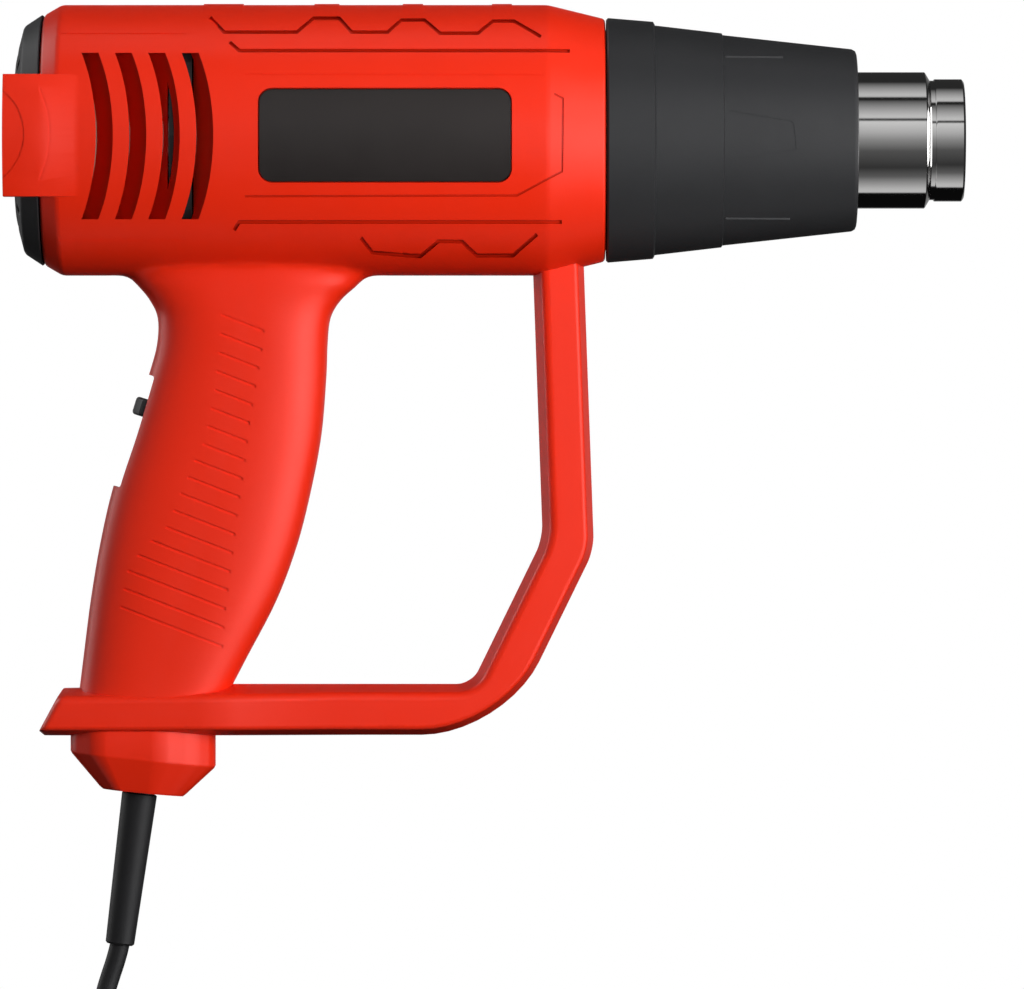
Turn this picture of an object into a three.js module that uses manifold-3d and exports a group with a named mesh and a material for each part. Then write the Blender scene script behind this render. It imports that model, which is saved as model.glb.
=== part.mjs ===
// A corded hot air tool with a pistol grip and a closed hand guard.
// Millimetres. X runs forwards to the outlet, Z up, and the right hand side is at negative Y.
// The origin is the middle of the grip, where a hand holds the tool.
import * as THREE from "three";
import { mergeVertices } from "three/addons/utils/BufferGeometryUtils.js";
import Module from "manifold-3d";

const wasm = await Module();
wasm.setup();

// Fits
const GAP = 0.3;
const WALL = 3;
const ROUND_SIDES = 32;
const INNER_SIDES = 20;
const SMALL_SIDES = 8;

// Barrel of the housing
const BARREL_RADIUS = 36.8;
const BARREL_REAR_X = -46.7;
const BARREL_FRONT_X = 104.5;
const REAR_CHAMFER_LENGTH = 4.8;
const REAR_CHAMFER_DROP = 2.8;
const FRONT_CHAMFER_LENGTH = 15.5;
const FRONT_CHAMFER_DROP = 3.8;

// Side lugs that the tool stands on, nose up
const LUG_PROUD = 1.8;
const LUG_REACH = 2.7;
const LUG_HALF_HEIGHT = 16.3;
const LUG_FADE = 10;

// Curved vents on both sides
const VENT_COUNT = 4;
const VENT_PITCH = 8.9;
const VENT_WIDTH = 4.5;
const VENT_HALF_HEIGHT = 22.2;
const VENT_ARC_RADIUS = 61.4;
const VENT_FIRST_X = -28.8;

// Label recess and its plate
const LABEL_LENGTH = 67.6;
const LABEL_HEIGHT = 25.3;
const LABEL_CORNER = 3.8;
const LABEL_X = 45.6;
const LABEL_RECESS = 1.8;
const LABEL_THICKNESS = 0.7;

// Grip: heights are shares of the way from the origin up to the barrel or down to the foot
const GRIP_ABOVE = 52.2;
const GRIP_BELOW = 57.7;
const GRIP_HALF_WIDTH = 14;
const GRIP_SQUARENESS = 3;
const GRIP_OUTLINE = [
  { share: 1.19, rear: -33, front: 50 },
  { share: 1.05, rear: -26.5, front: 42.5 },
  { share: 0.96, rear: -21.9, front: 37.8 },
  { share: 0.88, rear: -18.4, front: 33.2 },
  { share: 0.785, rear: -16.2, front: 30.4 },
  { share: 0.65, rear: -16.4, front: 29.6 },
  { share: 0.49, rear: -18.6, front: 29.3 },
  { share: 0.19, rear: -23.4, front: 28 },
  { share: -0.09, rear: -28.4, front: 25.2 },
  { share: -0.35, rear: -31.8, front: 21.4 },
  { share: -0.61, rear: -34.3, front: 15.8 },
  { share: -0.87, rear: -36.2, front: 8 },
  { share: -1.01, rear: -37.2, front: 3.8 },
  { share: -1.11, rear: -38, front: 1 },
];
const GRIP_LEVELS = 14;

// Hand guard and foot
const GUARD_WIDTH = 13.8;
const GUARD_THICKNESS = 18;
const GUARD_BEVEL = 2.7;
const GUARD_TOP_X = 91.8;
const GUARD_KNEE_X = 94.6;
const GUARD_KNEE_Z = -20;
const GUARD_KNEE_ROUND = 4;
const GUARD_ELBOW_X = 72.8;
const GUARD_ELBOW_ROUND = 22;
const FOOT_HEEL_X = -47.7;
const FOOT_HEEL_SLOPE = 6.2;
const FOOT_HALF_WIDTH = 14.65;
const FOOT_TAPER_START_X = 0;
const FOOT_TAPER_END_X = 32;
const FOOT_BEVEL = 2;

// Nub under the foot that holds the cord boot
const NUB_HEIGHT = 16.9;
const NUB_REAR_X = -39.7;
const NUB_FRONT_X = -0.5;
const NUB_HALF_WIDTH = 12.3;
const NUB_TIP_REAR_X = -25.8;
const NUB_TIP_FRONT_X = -9;
const NUB_TIP_HALF_WIDTH = 8.2;
const NUB_SQUARENESS = 4;
const NUB_SKIRT = 4.6;
const NUB_KNEE = 12.2;
const NUB_KNEE_SHARE = 0.5;

// Rear cap and temperature dial
const CAP_DEPTH = 6.4;
const CAP_EDGE_DROP = 3.2;
const CAP_CROWN = 1.6;
const CAP_WALL = 2.2;
const CAP_SPIGOT = 4.2;
const MARK_INSET = 2.8;
const MARK_WIDTH = 2.4;
const MARK_LENGTH = 4.2;
const MARK_DEPTH = 0.9;
const MARK_ANGLES = [-45, -22.5, 22.5, 45, 135, 157.5, 180, 202.5, 225];
const DIAL_RADIUS = 24;
const DIAL_DEPTH = 4.1;
const DIAL_PROUD = 0.6;
const DISH_RADIUS = 14.6;
const DISH_DEPTH = 1.2;
const DISH_SLOPE = 2;
const HUB_RADIUS = 4.6;
const POT_SHAFT_RADIUS = 3;
const POT_SHAFT_REACH = 4.6;
const POT_RADIUS = 8.5;
const BOARD_THICKNESS = 1.6;
const BOARD_PART_INSET = 11.4;
const TRIAC_DEPTH = 4.5;
const TRIAC_WIDTH = 10;
const TRIAC_HEIGHT = 15;
const CAPACITOR_DEPTH = 6;
const CAPACITOR_WIDTH = 11;
const CAPACITOR_HEIGHT = 18;

// Motor, fan and the parts that carry them
const MOTOR_X = -30;
const MOTOR_LENGTH = 32;
const MOTOR_RADIUS = 13.9;
const MOTOR_CAN_WALL = 1.2;
const MOTOR_CAP_LENGTH = 3.6;
const MAGNET_THICKNESS = 2.2;
const MAGNET_LENGTH = 22;
const ARMATURE_LENGTH = 18;
const SHAFT_RADIUS = 1.5;
const SHAFT_PROUD = 1.5;
const FAN_X = 8;
const FAN_LENGTH = 12;
const FAN_CLEARANCE = 3.8;
const FAN_HUB_RADIUS = 8;
const FAN_BLADES = 9;
const FAN_PITCH = 38;
const BLADE_THICKNESS = 1.4;
const BLADE_ROOT = 1;
const BRACKET_X = -12;
const BRACKET_LENGTH = 6;
const RING_WALL = 2;
const GUIDE_X = 27;
const GUIDE_LENGTH = 14;
const GUIDE_VANES = 6;
const GUIDE_HUB_RADIUS = 10;

// Front nose: radii behind and ahead of its two steps
const NOSE_LENGTH = 67.4;
const NOSE_FIRST_STEP = 13;
const NOSE_SECOND_STEP = 31.5;
const NOSE_ROOT_DROP = 1;
const NOSE_FIRST_RADIUS = 31;
const NOSE_BELLY_RADIUS = 28.9;
const NOSE_SECOND_RADIUS = 28.4;
const NOSE_TIP_RADIUS = 24.6;
const NOSE_EDGE = 1;
const NOSE_WALL = 2.4;
const NOSE_SPIGOT = 6;
const SPIGOT_WALL = 1.5;
const BEAD_LENGTH = 2;
const LEDGE_DEPTH = 5;

// Outlet tube and heater
const TUBE_RADIUS = 18.4;
const TUBE_END_RADIUS = 16.5;
const TUBE_WALL = 0.8;
const TUBE_REACH = 29;
const TUBE_END_LENGTH = 9;
const TUBE_SHOULDER = 2.6;
const BASE_THICKNESS = 5;
const MICA_WALL = 0.5;
const CORE_HALF_WIDTH = 11.6;
const CORE_THICKNESS = 1.2;
const CORE_SETBACK = 2;
const COIL_WIRE_RADIUS = 0.8;
const COIL_TURNS = 11;
const COIL_STEPS = 8;
const COIL_SIDES = 5;
const COIL_REAR_MARGIN = 6.4;
const COIL_FRONT_MARGIN = 3.2;
const FUSE_RADIUS = 1.6;
const FUSE_LENGTH = 9;

// Switch in the back of the grip: its own frame has Z up along the slot and X into the grip
const SWITCH_Z = 10.4;
const SLOT_HALF_LENGTH = 15;
const SLOT_HALF_WIDTH = 8.5;
const SWITCH_PLATE_DEPTH = 2.6;
const SWITCH_PLATE_THICKNESS = 2.2;
const SLIDER_TRAVEL = 16;
const SLIDER_HALF_LENGTH = 2.3;
const SLIDER_PROUD = 1.4;
const LEG_INNER_Y = 5.5;
const LEG_OUTER_Y = 7;
const LEG_REACH = 2.6;
const SWITCH_BODY_DEPTH = 13;
const SWITCH_BODY_HALF_WIDTH = 7.6;
const SWITCH_BODY_HALF_LENGTH = 13;

// Screws that join the halves: heads are sunk in the left half, and threads end in the right half
const SCREW_RADIUS = 1.3;
const SCREW_HEAD_RADIUS = 2.9;
const SCREW_HEAD_LENGTH = 2.2;
const SCREW_REACH = 7;
const BOSS_RADIUS = 3.6;
const CLAMP_BOSS_RADIUS = 2.6;
const BARREL_SCREW_DROP = 7.6;
const BARREL_SCREW_SEAT = 12;
const GRIP_SCREW_SEAT = 7;
const GRIP_SCREW_INSET = 9.6;
const GRIP_SCREW_TOP_Z = 32.4;
const GRIP_SCREW_BOTTOM_Z = -35.8;
const GUARD_SCREW_SEAT = 4.6;
const ELBOW_SCREW_INSET = 6;
const HEATER_SCREW_RADIUS = 1.2;
const HEATER_SCREW_INSET = 2.7;
const HEATER_SCREW_HEAD_RADIUS = 2.2;
const HEATER_SCREW_HEAD_LENGTH = 1.6;
const HEATER_SCREW_BITE = 1.5;

// Cord: boot, clamp, lead, hank, tail and plug
const CORD_RADIUS = 2.7;
const BOOT_X = -21.3;
const BOOT_TILT = 7.5;
const BOOT_LENGTH = 40;
const BOOT_ROOT_RADIUS = 4.75;
const BOOT_TIP_RADIUS = 3.9;
const BOOT_NECK_RADIUS = 4.1;
const BOOT_FLANGE_RADIUS = 6;
const BOOT_FLANGE_LENGTH = 2.5;
const CORD_INSIDE = 27;
const CLAMP_BELOW_FOOT_TOP = 6.8;
const CLAMP_HALF_SPAN = 10.5;
const CLAMP_HALF_HEIGHT = 3.2;
const CLAMP_THICKNESS = 3;
const CLAMP_SCREW_SPAN = 7.4;
const HANK_RUN = 90;
const HANK_HALF_TURNS = 10;
const HANK_FOLD_RADIUS = 16.4;
const HANK_PITCH = 6.6;
const HANK_WAIST = 12;
const HANK_LAYER = 6.1;
const HANK_X = -1;
const HANK_Z = -222;
const RUN_STEPS = 6;
const FOLD_STEPS = 6;
const HANK_SIDES = 6;
const TIE_HEIGHT = 9;
const TIE_THICKNESS = 1.6;
const PLUG_HALF_WIDTH = 13;
const PLUG_HALF_THICKNESS = 9.5;
const PLUG_LENGTH = 36;
const PLUG_X = -11;
const PLUG_ABOVE_WAIST = 24;
const PLUG_NECK_LENGTH = 10.8;
const PLUG_FLARE_LENGTH = 9;
const PLUG_NECK_FLARE = 1;
const PLUG_SQUARENESS = 3;
const PLUG_NECK_RADIUS = 5;
const BLADE_LENGTH = 16;
const BLADE_WIDTH = 6.3;
const BLADE_DEPTH = 1.5;
const BLADE_SPACING = 12.7;
const WIRE_RADIUS = 1.1;
const WIRE_SIDES = 5;
const WIRE_STUB = 8;
const WIRE_SPREAD = 6;
const WIRE_FORWARD = 9;
const WIRE_END_DROP = 21;
const WIRE_LEVELS = [-28, -4, 20, 40];
const MOTOR_WIRE_DROP = 9;

// Places that follow from the sizes
const axisZ = GRIP_ABOVE + BARREL_RADIUS;
const cavityRadius = BARREL_RADIUS - WALL;
const mouthRadius = cavityRadius - FRONT_CHAMFER_DROP;
const rearMouthRadius = cavityRadius - REAR_CHAMFER_DROP;
const footTopZ = -GRIP_BELOW;
const footBottomZ = footTopZ - GUARD_WIDTH;
const nubBottomZ = footBottomZ - NUB_HEIGHT;
const capFrontX = BARREL_REAR_X - GAP;
const capRearX = capFrontX - CAP_DEPTH;
const noseRearX = BARREL_FRONT_X + GAP;
const noseFrontX = noseRearX + NOSE_LENGTH;
const degrees = Math.PI / 180;

// Finishes
const FINISHES = {
  red: { color: 0xe23a1c, roughness: 0.42, metalness: 0 },
  black: { color: 0x2b2b2d, roughness: 0.55, metalness: 0 },
  label: { color: 0x232221, roughness: 0.5, metalness: 0 },
  steel: { color: 0xb9bbbd, roughness: 0.18, metalness: 1 },
  zinc: { color: 0x9a9c9e, roughness: 0.4, metalness: 1 },
  mica: { color: 0xb9a57c, roughness: 0.6, metalness: 0 },
  ceramic: { color: 0xe6e0d2, roughness: 0.7, metalness: 0 },
  alloy: { color: 0x77726c, roughness: 0.45, metalness: 1 },
  board: { color: 0x1f5a35, roughness: 0.5, metalness: 0 },
  nylon: { color: 0xd9d6cc, roughness: 0.5, metalness: 0 },
  magnet: { color: 0x3a3836, roughness: 0.7, metalness: 0 },
  brass: { color: 0xc9a24a, roughness: 0.3, metalness: 1 },
  rubber: { color: 0x1c1c1d, roughness: 0.75, metalness: 0 },
  wire: { color: 0x6d2f22, roughness: 0.5, metalness: 0 },
};

// A closed geometry as a solid with its faces turned outwards.
function solidOf(geometry) {
  const bare = geometry.clone();
  bare.deleteAttribute("normal");
  bare.deleteAttribute("uv");
  const merged = mergeVertices(bare);
  const corners = [];
  for (let i = 0; i < merged.index.count; i += 3) {
    const [a, b, c] = merged.index.array.slice(i, i + 3);
    if (a !== b && b !== c && c !== a) corners.push(a, b, c);
  }
  const vertProperties = merged.attributes.position.array;
  const build = (list) =>
    new wasm.Manifold(new wasm.Mesh({ numProp: 3, vertProperties, triVerts: new Uint32Array(list) }));
  const made = build(corners);
  return made.volume() < 0 ? build(corners.reverse()) : made;
}

// A solid back as a geometry.
function geometryOf(solid) {
  const { vertProperties, triVerts } = solid.getMesh();
  return new THREE.BufferGeometry()
    .setAttribute("position", new THREE.BufferAttribute(vertProperties, 3))
    .setIndex(new THREE.BufferAttribute(triVerts, 1))
    .toNonIndexed();
}

function joined(...solids) {
  return solids.reduce((whole, solid) => whole.add(solid));
}

function cutBy(solid, ...tools) {
  return tools.reduce((left, tool) => left.subtract(tool), solid);
}

const tool = new THREE.Group();

// Adds one named piece with its own finish.
function piece(name, shape, finish, parent = tool) {
  const solid = shape instanceof THREE.BufferGeometry ? solidOf(shape) : shape;
  const mesh = new THREE.Mesh(geometryOf(solid), new THREE.MeshStandardMaterial(FINISHES[finish]));
  mesh.name = name;
  mesh.geometry.computeVertexNormals();
  parent.add(mesh);
  return mesh;
}

// Turns a profile of [x, radius] pairs about the barrel axis.
function turned(profile, sides = ROUND_SIDES) {
  const points = profile.map(([x, radius]) => new THREE.Vector2(radius, x));
  return solidOf(new THREE.LatheGeometry(points, sides).rotateZ(-Math.PI / 2).translate(0, 0, axisZ));
}

// A ring about the barrel axis.
function ring(rearX, frontX, inner, outer, sides = ROUND_SIDES) {
  return turned([[rearX, inner], [rearX, outer], [frontX, outer], [frontX, inner], [rearX, inner]], sides);
}

// A full disc or rod about the barrel axis.
function rod(rearX, frontX, radius, sides = SMALL_SIDES) {
  return turned([[rearX, 0], [rearX, radius], [frontX, radius], [frontX, 0]], sides);
}

// A closed outline whose corners, [x, z, rounding], are rounded off over that length of each side.
function outline(corners) {
  const shape = new THREE.Shape();
  corners.forEach(([x, z, rounding = 0], i) => {
    const corner = new THREE.Vector2(x, z);
    const [beforeX, beforeZ] = corners.at(i - 1);
    const [afterX, afterZ] = corners[(i + 1) % corners.length];
    const start = new THREE.Vector2(beforeX, beforeZ).sub(corner).setLength(rounding).add(corner);
    const end = new THREE.Vector2(afterX, afterZ).sub(corner).setLength(rounding).add(corner);
    if (i === 0) shape.moveTo(start.x, start.y);
    else shape.lineTo(start.x, start.y);
    if (rounding > 0) shape.quadraticCurveTo(corner.x, corner.y, end.x, end.y);
  });
  return shape;
}

function rectangle(x0, z0, x1, z1, rounding = 0) {
  return outline([[x0, z0, rounding], [x1, z0, rounding], [x1, z1, rounding], [x0, z1, rounding]]);
}

// A level outline raised by a height, with bevelled edges and drawn in by an inset.
function raised(shape, height, bevel = 0, inset = 0) {
  return new THREE.ExtrudeGeometry(shape, {
    depth: height - 2 * bevel,
    bevelEnabled: bevel > 0,
    bevelThickness: bevel,
    bevelSize: bevel,
    bevelOffset: -bevel - inset,
    bevelSegments: 1,
    curveSegments: 3,
  }).translate(0, 0, bevel);
}

// A side outline made into a plate that is centred on the middle plane.
function plate(shape, thickness, bevel = 0, inset = 0) {
  const geometry = raised(shape, thickness, bevel, inset);
  return solidOf(geometry.translate(0, 0, -thickness / 2).rotateX(Math.PI / 2));
}

function block(x0, x1, y0, y1, z0, z1) {
  const geometry = new THREE.BoxGeometry(x1 - x0, y1 - y0, z1 - z0);
  return solidOf(geometry.translate((x0 + x1) / 2, (y0 + y1) / 2, (z0 + z1) / 2));
}

// A round bar along Y.
function crossBar(x, z, y0, y1, radius, sides = SMALL_SIDES) {
  const geometry = new THREE.CylinderGeometry(radius, radius, y1 - y0, sides);
  return solidOf(geometry.translate(x, (y0 + y1) / 2, z));
}

// A skin through closed rings of points, with flat ends.
function loft(rings) {
  const count = rings[0].length;
  const last = (rings.length - 1) * count;
  const faces = [];
  for (let start = 0; start < last; start += count) {
    for (let i = 0; i < count; i++) {
      const a = start + i;
      const b = start + ((i + 1) % count);
      faces.push(a, b, b + count, a, b + count, a + count);
    }
  }
  for (let i = 1; i < count - 1; i++) {
    faces.push(0, i + 1, i, last, last + i, last + i + 1);
  }
  const geometry = new THREE.BufferGeometry().setFromPoints(rings.flat()).setIndex(faces);
  return solidOf(geometry);
}

// A level ring between a rear and a front, squarer than an ellipse.
function levelRing(z, rear, front, halfWidth, squareness, sides = INNER_SIDES) {
  return Array.from({ length: sides }, (_, i) => {
    const angle = (2 * Math.PI * i) / sides;
    const c = Math.cos(angle);
    const s = Math.sin(angle);
    const reach = (Math.abs(c) ** squareness + Math.abs(s) ** squareness) ** (-1 / squareness);
    return new THREE.Vector3((rear + front) / 2 + ((front - rear) / 2) * reach * c, halfWidth * reach * s, z);
  });
}

// Round rings along a line of points that keeps clear of the Y direction.
function sweep(points, radius, sides) {
  return loft(
    points.map((point, i) => {
      const before = points[Math.max(i - 1, 0)];
      const after = points[Math.min(i + 1, points.length - 1)];
      const along = after.clone().sub(before).normalize();
      const across = new THREE.Vector3(0, 1, 0).cross(along).normalize();
      const up = along.clone().cross(across);
      return Array.from({ length: sides }, (_, k) => {
        const angle = (2 * Math.PI * k) / sides;
        return point
          .clone()
          .addScaledVector(across, radius * Math.cos(angle))
          .addScaledVector(up, radius * Math.sin(angle));
      });
    }),
  );
}

// A smooth tube through hand-chosen points.
function tube(points, radius, sides, steps) {
  const path = new THREE.CatmullRomCurve3(points.map((p) => new THREE.Vector3(...p)));
  const section = new THREE.Shape(
    Array.from({ length: sides }, (_, i) => {
      const angle = (2 * Math.PI * i) / sides;
      return new THREE.Vector2(radius * Math.cos(angle), radius * Math.sin(angle));
    }),
  );
  return solidOf(new THREE.ExtrudeGeometry(section, { steps, extrudePath: path }));
}

function turnedAbout(solid, angle) {
  return solid.translate([0, 0, -axisZ]).rotate([angle / degrees, 0, 0]).translate([0, 0, axisZ]);
}

// Grip levels and the switch frame on its crown.
const gripLine = new THREE.CatmullRomCurve3(
  GRIP_OUTLINE.map(({ share, rear, front }) => {
    const height = share > 0 ? share * GRIP_ABOVE : share * GRIP_BELOW;
    return new THREE.Vector3(rear, front, height);
  }),
);
const gripLevels = gripLine.getPoints(GRIP_LEVELS);

// The grip's level at a height, with its rear as x and its front as y.
function gripAt(z) {
  const below = gripLevels.findIndex((level) => level.z <= z);
  const low = gripLevels[below];
  const high = gripLevels[below - 1];
  return low.clone().lerp(high, (z - low.z) / (high.z - low.z));
}

const slotTopX = gripAt(SWITCH_Z + SLOT_HALF_LENGTH).x;
const slotBottomX = gripAt(SWITCH_Z - SLOT_HALF_LENGTH).x;
const switchTilt = Math.atan2(slotTopX - slotBottomX, 2 * SLOT_HALF_LENGTH);
const switchGroup = new THREE.Group();
switchGroup.position.set((slotTopX + slotBottomX) / 2, 0, SWITCH_Z);
switchGroup.rotation.y = switchTilt;
switchGroup.updateMatrix();
tool.add(switchGroup);

const plateInnerX = SWITCH_PLATE_DEPTH + SWITCH_PLATE_THICKNESS;
const slotDepth = plateInnerX + 2 * WALL;
const switchSlot = solidOf(
  new THREE.BoxGeometry(slotDepth, 2 * SLOT_HALF_WIDTH, 2 * SLOT_HALF_LENGTH)
    .translate(slotDepth / 2 - WALL, 0, 0)
    .applyMatrix4(switchGroup.matrix),
);

// Boot axis, downwards from the nub.
const bootDown = new THREE.Vector3(-Math.sin(BOOT_TILT * degrees), 0, -Math.cos(BOOT_TILT * degrees));
const bootRoot = new THREE.Vector3(BOOT_X, 0, nubBottomZ);

function onBootAxis(distance) {
  return bootRoot.clone().addScaledVector(bootDown, distance);
}

// Outer form of the housing, inset for its cavity.
function barrelForm(inset) {
  const over = inset > 0 ? 1 : 0;
  const rear = BARREL_RADIUS - REAR_CHAMFER_DROP - inset;
  const front = BARREL_RADIUS - FRONT_CHAMFER_DROP - inset;
  const middle = BARREL_RADIUS - inset;
  return turned([
    [BARREL_REAR_X - over, 0],
    [BARREL_REAR_X - over, rear],
    [BARREL_REAR_X, rear],
    [BARREL_REAR_X + REAR_CHAMFER_LENGTH, middle],
    [BARREL_FRONT_X - FRONT_CHAMFER_LENGTH, middle],
    [BARREL_FRONT_X, front],
    [BARREL_FRONT_X + over, front],
    [BARREL_FRONT_X + over, 0],
  ]);
}

function gripForm(inset) {
  return loft(
    gripLevels.map(({ x: rear, y: front, z }) =>
      levelRing(z, rear + inset, front - inset, GRIP_HALF_WIDTH - inset, GRIP_SQUARENESS),
    ),
  );
}

// The guard is a strip of constant width along the middle line of the bar.
const barZ = footTopZ - GUARD_WIDTH / 2;
const guardLine = [
  { x: GUARD_TOP_X, z: GRIP_ABOVE + 2 * WALL, rounding: 0 },
  { x: GUARD_KNEE_X, z: GUARD_KNEE_Z, rounding: GUARD_KNEE_ROUND },
  { x: GUARD_ELBOW_X, z: barZ, rounding: GUARD_ELBOW_ROUND },
  { x: FOOT_TAPER_START_X, z: barZ, rounding: 0 },
];

function guardSide(offset) {
  return guardLine.map((point, i) => {
    const before = guardLine[Math.max(i - 1, 0)];
    const after = guardLine[Math.min(i + 1, guardLine.length - 1)];
    const into = new THREE.Vector2(point.x - before.x, point.z - before.z).normalize();
    const outOf = new THREE.Vector2(after.x - point.x, after.z - point.z).normalize();
    const first = i === 0 ? outOf : into;
    const second = i === guardLine.length - 1 ? into : outOf;
    const mitre = offset / (1 + first.dot(second));
    const x = point.x - (first.y + second.y) * mitre;
    const z = point.z + (first.x + second.x) * mitre;
    return [x, z, offset > 0 ? point.rounding : Math.min(point.rounding, GUARD_KNEE_ROUND)];
  });
}

function guardForm(inset) {
  const shape = outline([...guardSide(GUARD_WIDTH / 2), ...guardSide(-GUARD_WIDTH / 2).reverse()]);
  const bevel = inset > 0 ? GUARD_BEVEL / 2 : GUARD_BEVEL;
  return plate(shape, GUARD_THICKNESS - 2 * inset, bevel, inset);
}

function footForm(inset) {
  const half = FOOT_HALF_WIDTH - inset;
  const bar = GUARD_THICKNESS / 2 - inset;
  const heelX = FOOT_HEEL_X + inset;
  const endX = FOOT_TAPER_END_X + GUARD_WIDTH;
  const bottom = footBottomZ + inset;
  const top = footTopZ - inset;
  const corner = FOOT_BEVEL + WALL;
  const plan = outline([
    [heelX, -half, corner],
    [FOOT_TAPER_START_X, -half, corner],
    [FOOT_TAPER_END_X, -bar, corner],
    [endX, -bar],
    [endX, bar],
    [FOOT_TAPER_END_X, bar, corner],
    [FOOT_TAPER_START_X, half, corner],
    [heelX, half, corner],
  ]);
  const side = outline([
    [heelX + FOOT_HEEL_SLOPE, top],
    [heelX, bottom + GUARD_WIDTH / 3],
    [heelX, bottom],
    [endX, bottom],
    [endX, top],
  ]);
  const bevel = inset > 0 ? FOOT_BEVEL / 2 : FOOT_BEVEL;
  const level = solidOf(raised(plan, top - bottom, bevel).translate(0, 0, bottom));
  return level.intersect(plate(side, 2 * FOOT_HALF_WIDTH));
}

function nubForm(inset) {
  const top = inset > 0 ? footTopZ - GUARD_WIDTH / 2 : footBottomZ + FOOT_BEVEL;
  const tip = nubBottomZ + inset;
  const level = (z, share) =>
    levelRing(
      z,
      THREE.MathUtils.lerp(NUB_REAR_X, NUB_TIP_REAR_X, share) + inset,
      THREE.MathUtils.lerp(NUB_FRONT_X, NUB_TIP_FRONT_X, share) - inset,
      THREE.MathUtils.lerp(NUB_HALF_WIDTH, NUB_TIP_HALF_WIDTH, share) - inset,
      NUB_SQUARENESS,
    );
  return loft([
    level(top, 0),
    level(footBottomZ - NUB_SKIRT, 0),
    level(footBottomZ - NUB_KNEE, NUB_KNEE_SHARE),
    level(tip, 1),
  ]);
}

const outer = (() => {
  const lugRadius = BARREL_RADIUS + LUG_PROUD;
  const lugInner = BARREL_RADIUS - REAR_CHAMFER_DROP + GAP;
  const lugRing = turned([
    [capRearX - LUG_REACH, lugInner],
    [capRearX - LUG_REACH, lugRadius],
    [BARREL_REAR_X, lugRadius],
    [BARREL_REAR_X + LUG_FADE, BARREL_RADIUS],
    [BARREL_REAR_X + LUG_FADE, lugInner],
    [capRearX - LUG_REACH, lugInner],
  ]);
  const lugs = lugRing.intersect(
    block(
      capRearX - LUG_REACH - 1,
      BARREL_REAR_X + LUG_FADE + 1,
      -lugRadius,
      lugRadius,
      axisZ - LUG_HALF_HEIGHT,
      axisZ + LUG_HALF_HEIGHT,
    ),
  );
  return joined(barrelForm(0), lugs, gripForm(0), guardForm(0), footForm(0), nubForm(0));
})();

// Vents, label recesses, switch slot and the boot's hole.
function ventCutters() {
  const half = Math.asin(VENT_HALF_HEIGHT / VENT_ARC_RADIUS);
  return Array.from({ length: VENT_COUNT }, (_, i) => {
    const centre = VENT_FIRST_X + i * VENT_PITCH - VENT_ARC_RADIUS;
    const shape = new THREE.Shape();
    shape.absarc(centre - VENT_WIDTH / 2, axisZ, VENT_ARC_RADIUS, half, -half, true);
    shape.absarc(centre + VENT_WIDTH / 2, axisZ, VENT_ARC_RADIUS, -half, half, false);
    return plate(shape, 3 * BARREL_RADIUS);
  });
}

function labelForm(inner, outerRadius, inset) {
  const halfLength = LABEL_LENGTH / 2 - inset;
  const halfHeight = LABEL_HEIGHT / 2 - inset;
  const face = rectangle(
    LABEL_X - halfLength,
    axisZ - halfHeight,
    LABEL_X + halfLength,
    axisZ + halfHeight,
    LABEL_CORNER,
  );
  return ring(LABEL_X - LABEL_LENGTH, LABEL_X + LABEL_LENGTH, inner, outerRadius).intersect(
    plate(face, 3 * BARREL_RADIUS),
  );
}

const labelFloor = BARREL_RADIUS - LABEL_RECESS;
const bootHole = sweep([onBootAxis(-2 * WALL), onBootAxis(WALL)], BOOT_NECK_RADIUS + GAP, INNER_SIDES);
const cavity = joined(barrelForm(WALL), gripForm(WALL), guardForm(WALL), footForm(WALL), nubForm(WALL));
const shell = cutBy(
  outer,
  cavity,
  ...ventCutters(),
  labelForm(labelFloor, BARREL_RADIUS + WALL, 0),
  switchSlot,
  bootHole,
);

// Ten screws hold the halves together: in the barrel's corners, the grip and the guard.
const barrelScrewOffset = BARREL_RADIUS - BARREL_SCREW_DROP;
const screwPlaces = [
  { x: VENT_FIRST_X + VENT_PITCH, z: axisZ + barrelScrewOffset, seat: BARREL_SCREW_SEAT },
  { x: LABEL_X + LABEL_LENGTH / 4, z: axisZ + barrelScrewOffset, seat: BARREL_SCREW_SEAT },
  { x: LABEL_X + LABEL_LENGTH / 4, z: axisZ - barrelScrewOffset, seat: BARREL_SCREW_SEAT },
  { x: VENT_FIRST_X - VENT_WIDTH, z: axisZ - barrelScrewOffset, seat: BARREL_SCREW_SEAT },
  ...[GRIP_SCREW_TOP_Z, GRIP_SCREW_BOTTOM_Z].map((z) => ({
    x: gripAt(z).y - GRIP_SCREW_INSET,
    z,
    seat: GRIP_SCREW_SEAT,
  })),
  { x: (GUARD_TOP_X + GUARD_KNEE_X) / 2, z: (GRIP_ABOVE + GUARD_KNEE_Z) / 2, seat: GUARD_SCREW_SEAT },
  { x: GUARD_KNEE_X - GAP, z: GUARD_KNEE_Z, seat: GUARD_SCREW_SEAT },
  { x: GUARD_ELBOW_X - ELBOW_SCREW_INSET, z: barZ, seat: GUARD_SCREW_SEAT },
  { x: FOOT_TAPER_END_X, z: barZ, seat: GUARD_SCREW_SEAT },
];
const farSide = 2 * BARREL_RADIUS;

// Each half keeps its side of the shell and gets its bosses and screw holes.
function housingHalf(side) {
  const [low, high] = side < 0 ? [-farSide, 0] : [0, farSide];
  const keep = block(-4 * farSide, 4 * farSide, low, high, -4 * farSide, 4 * farSide);
  const bosses = screwPlaces.map(({ x, z }) => crossBar(x, z, low, high, BOSS_RADIUS).intersect(outer));
  return joined(shell.intersect(keep), ...bosses);
}

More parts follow.
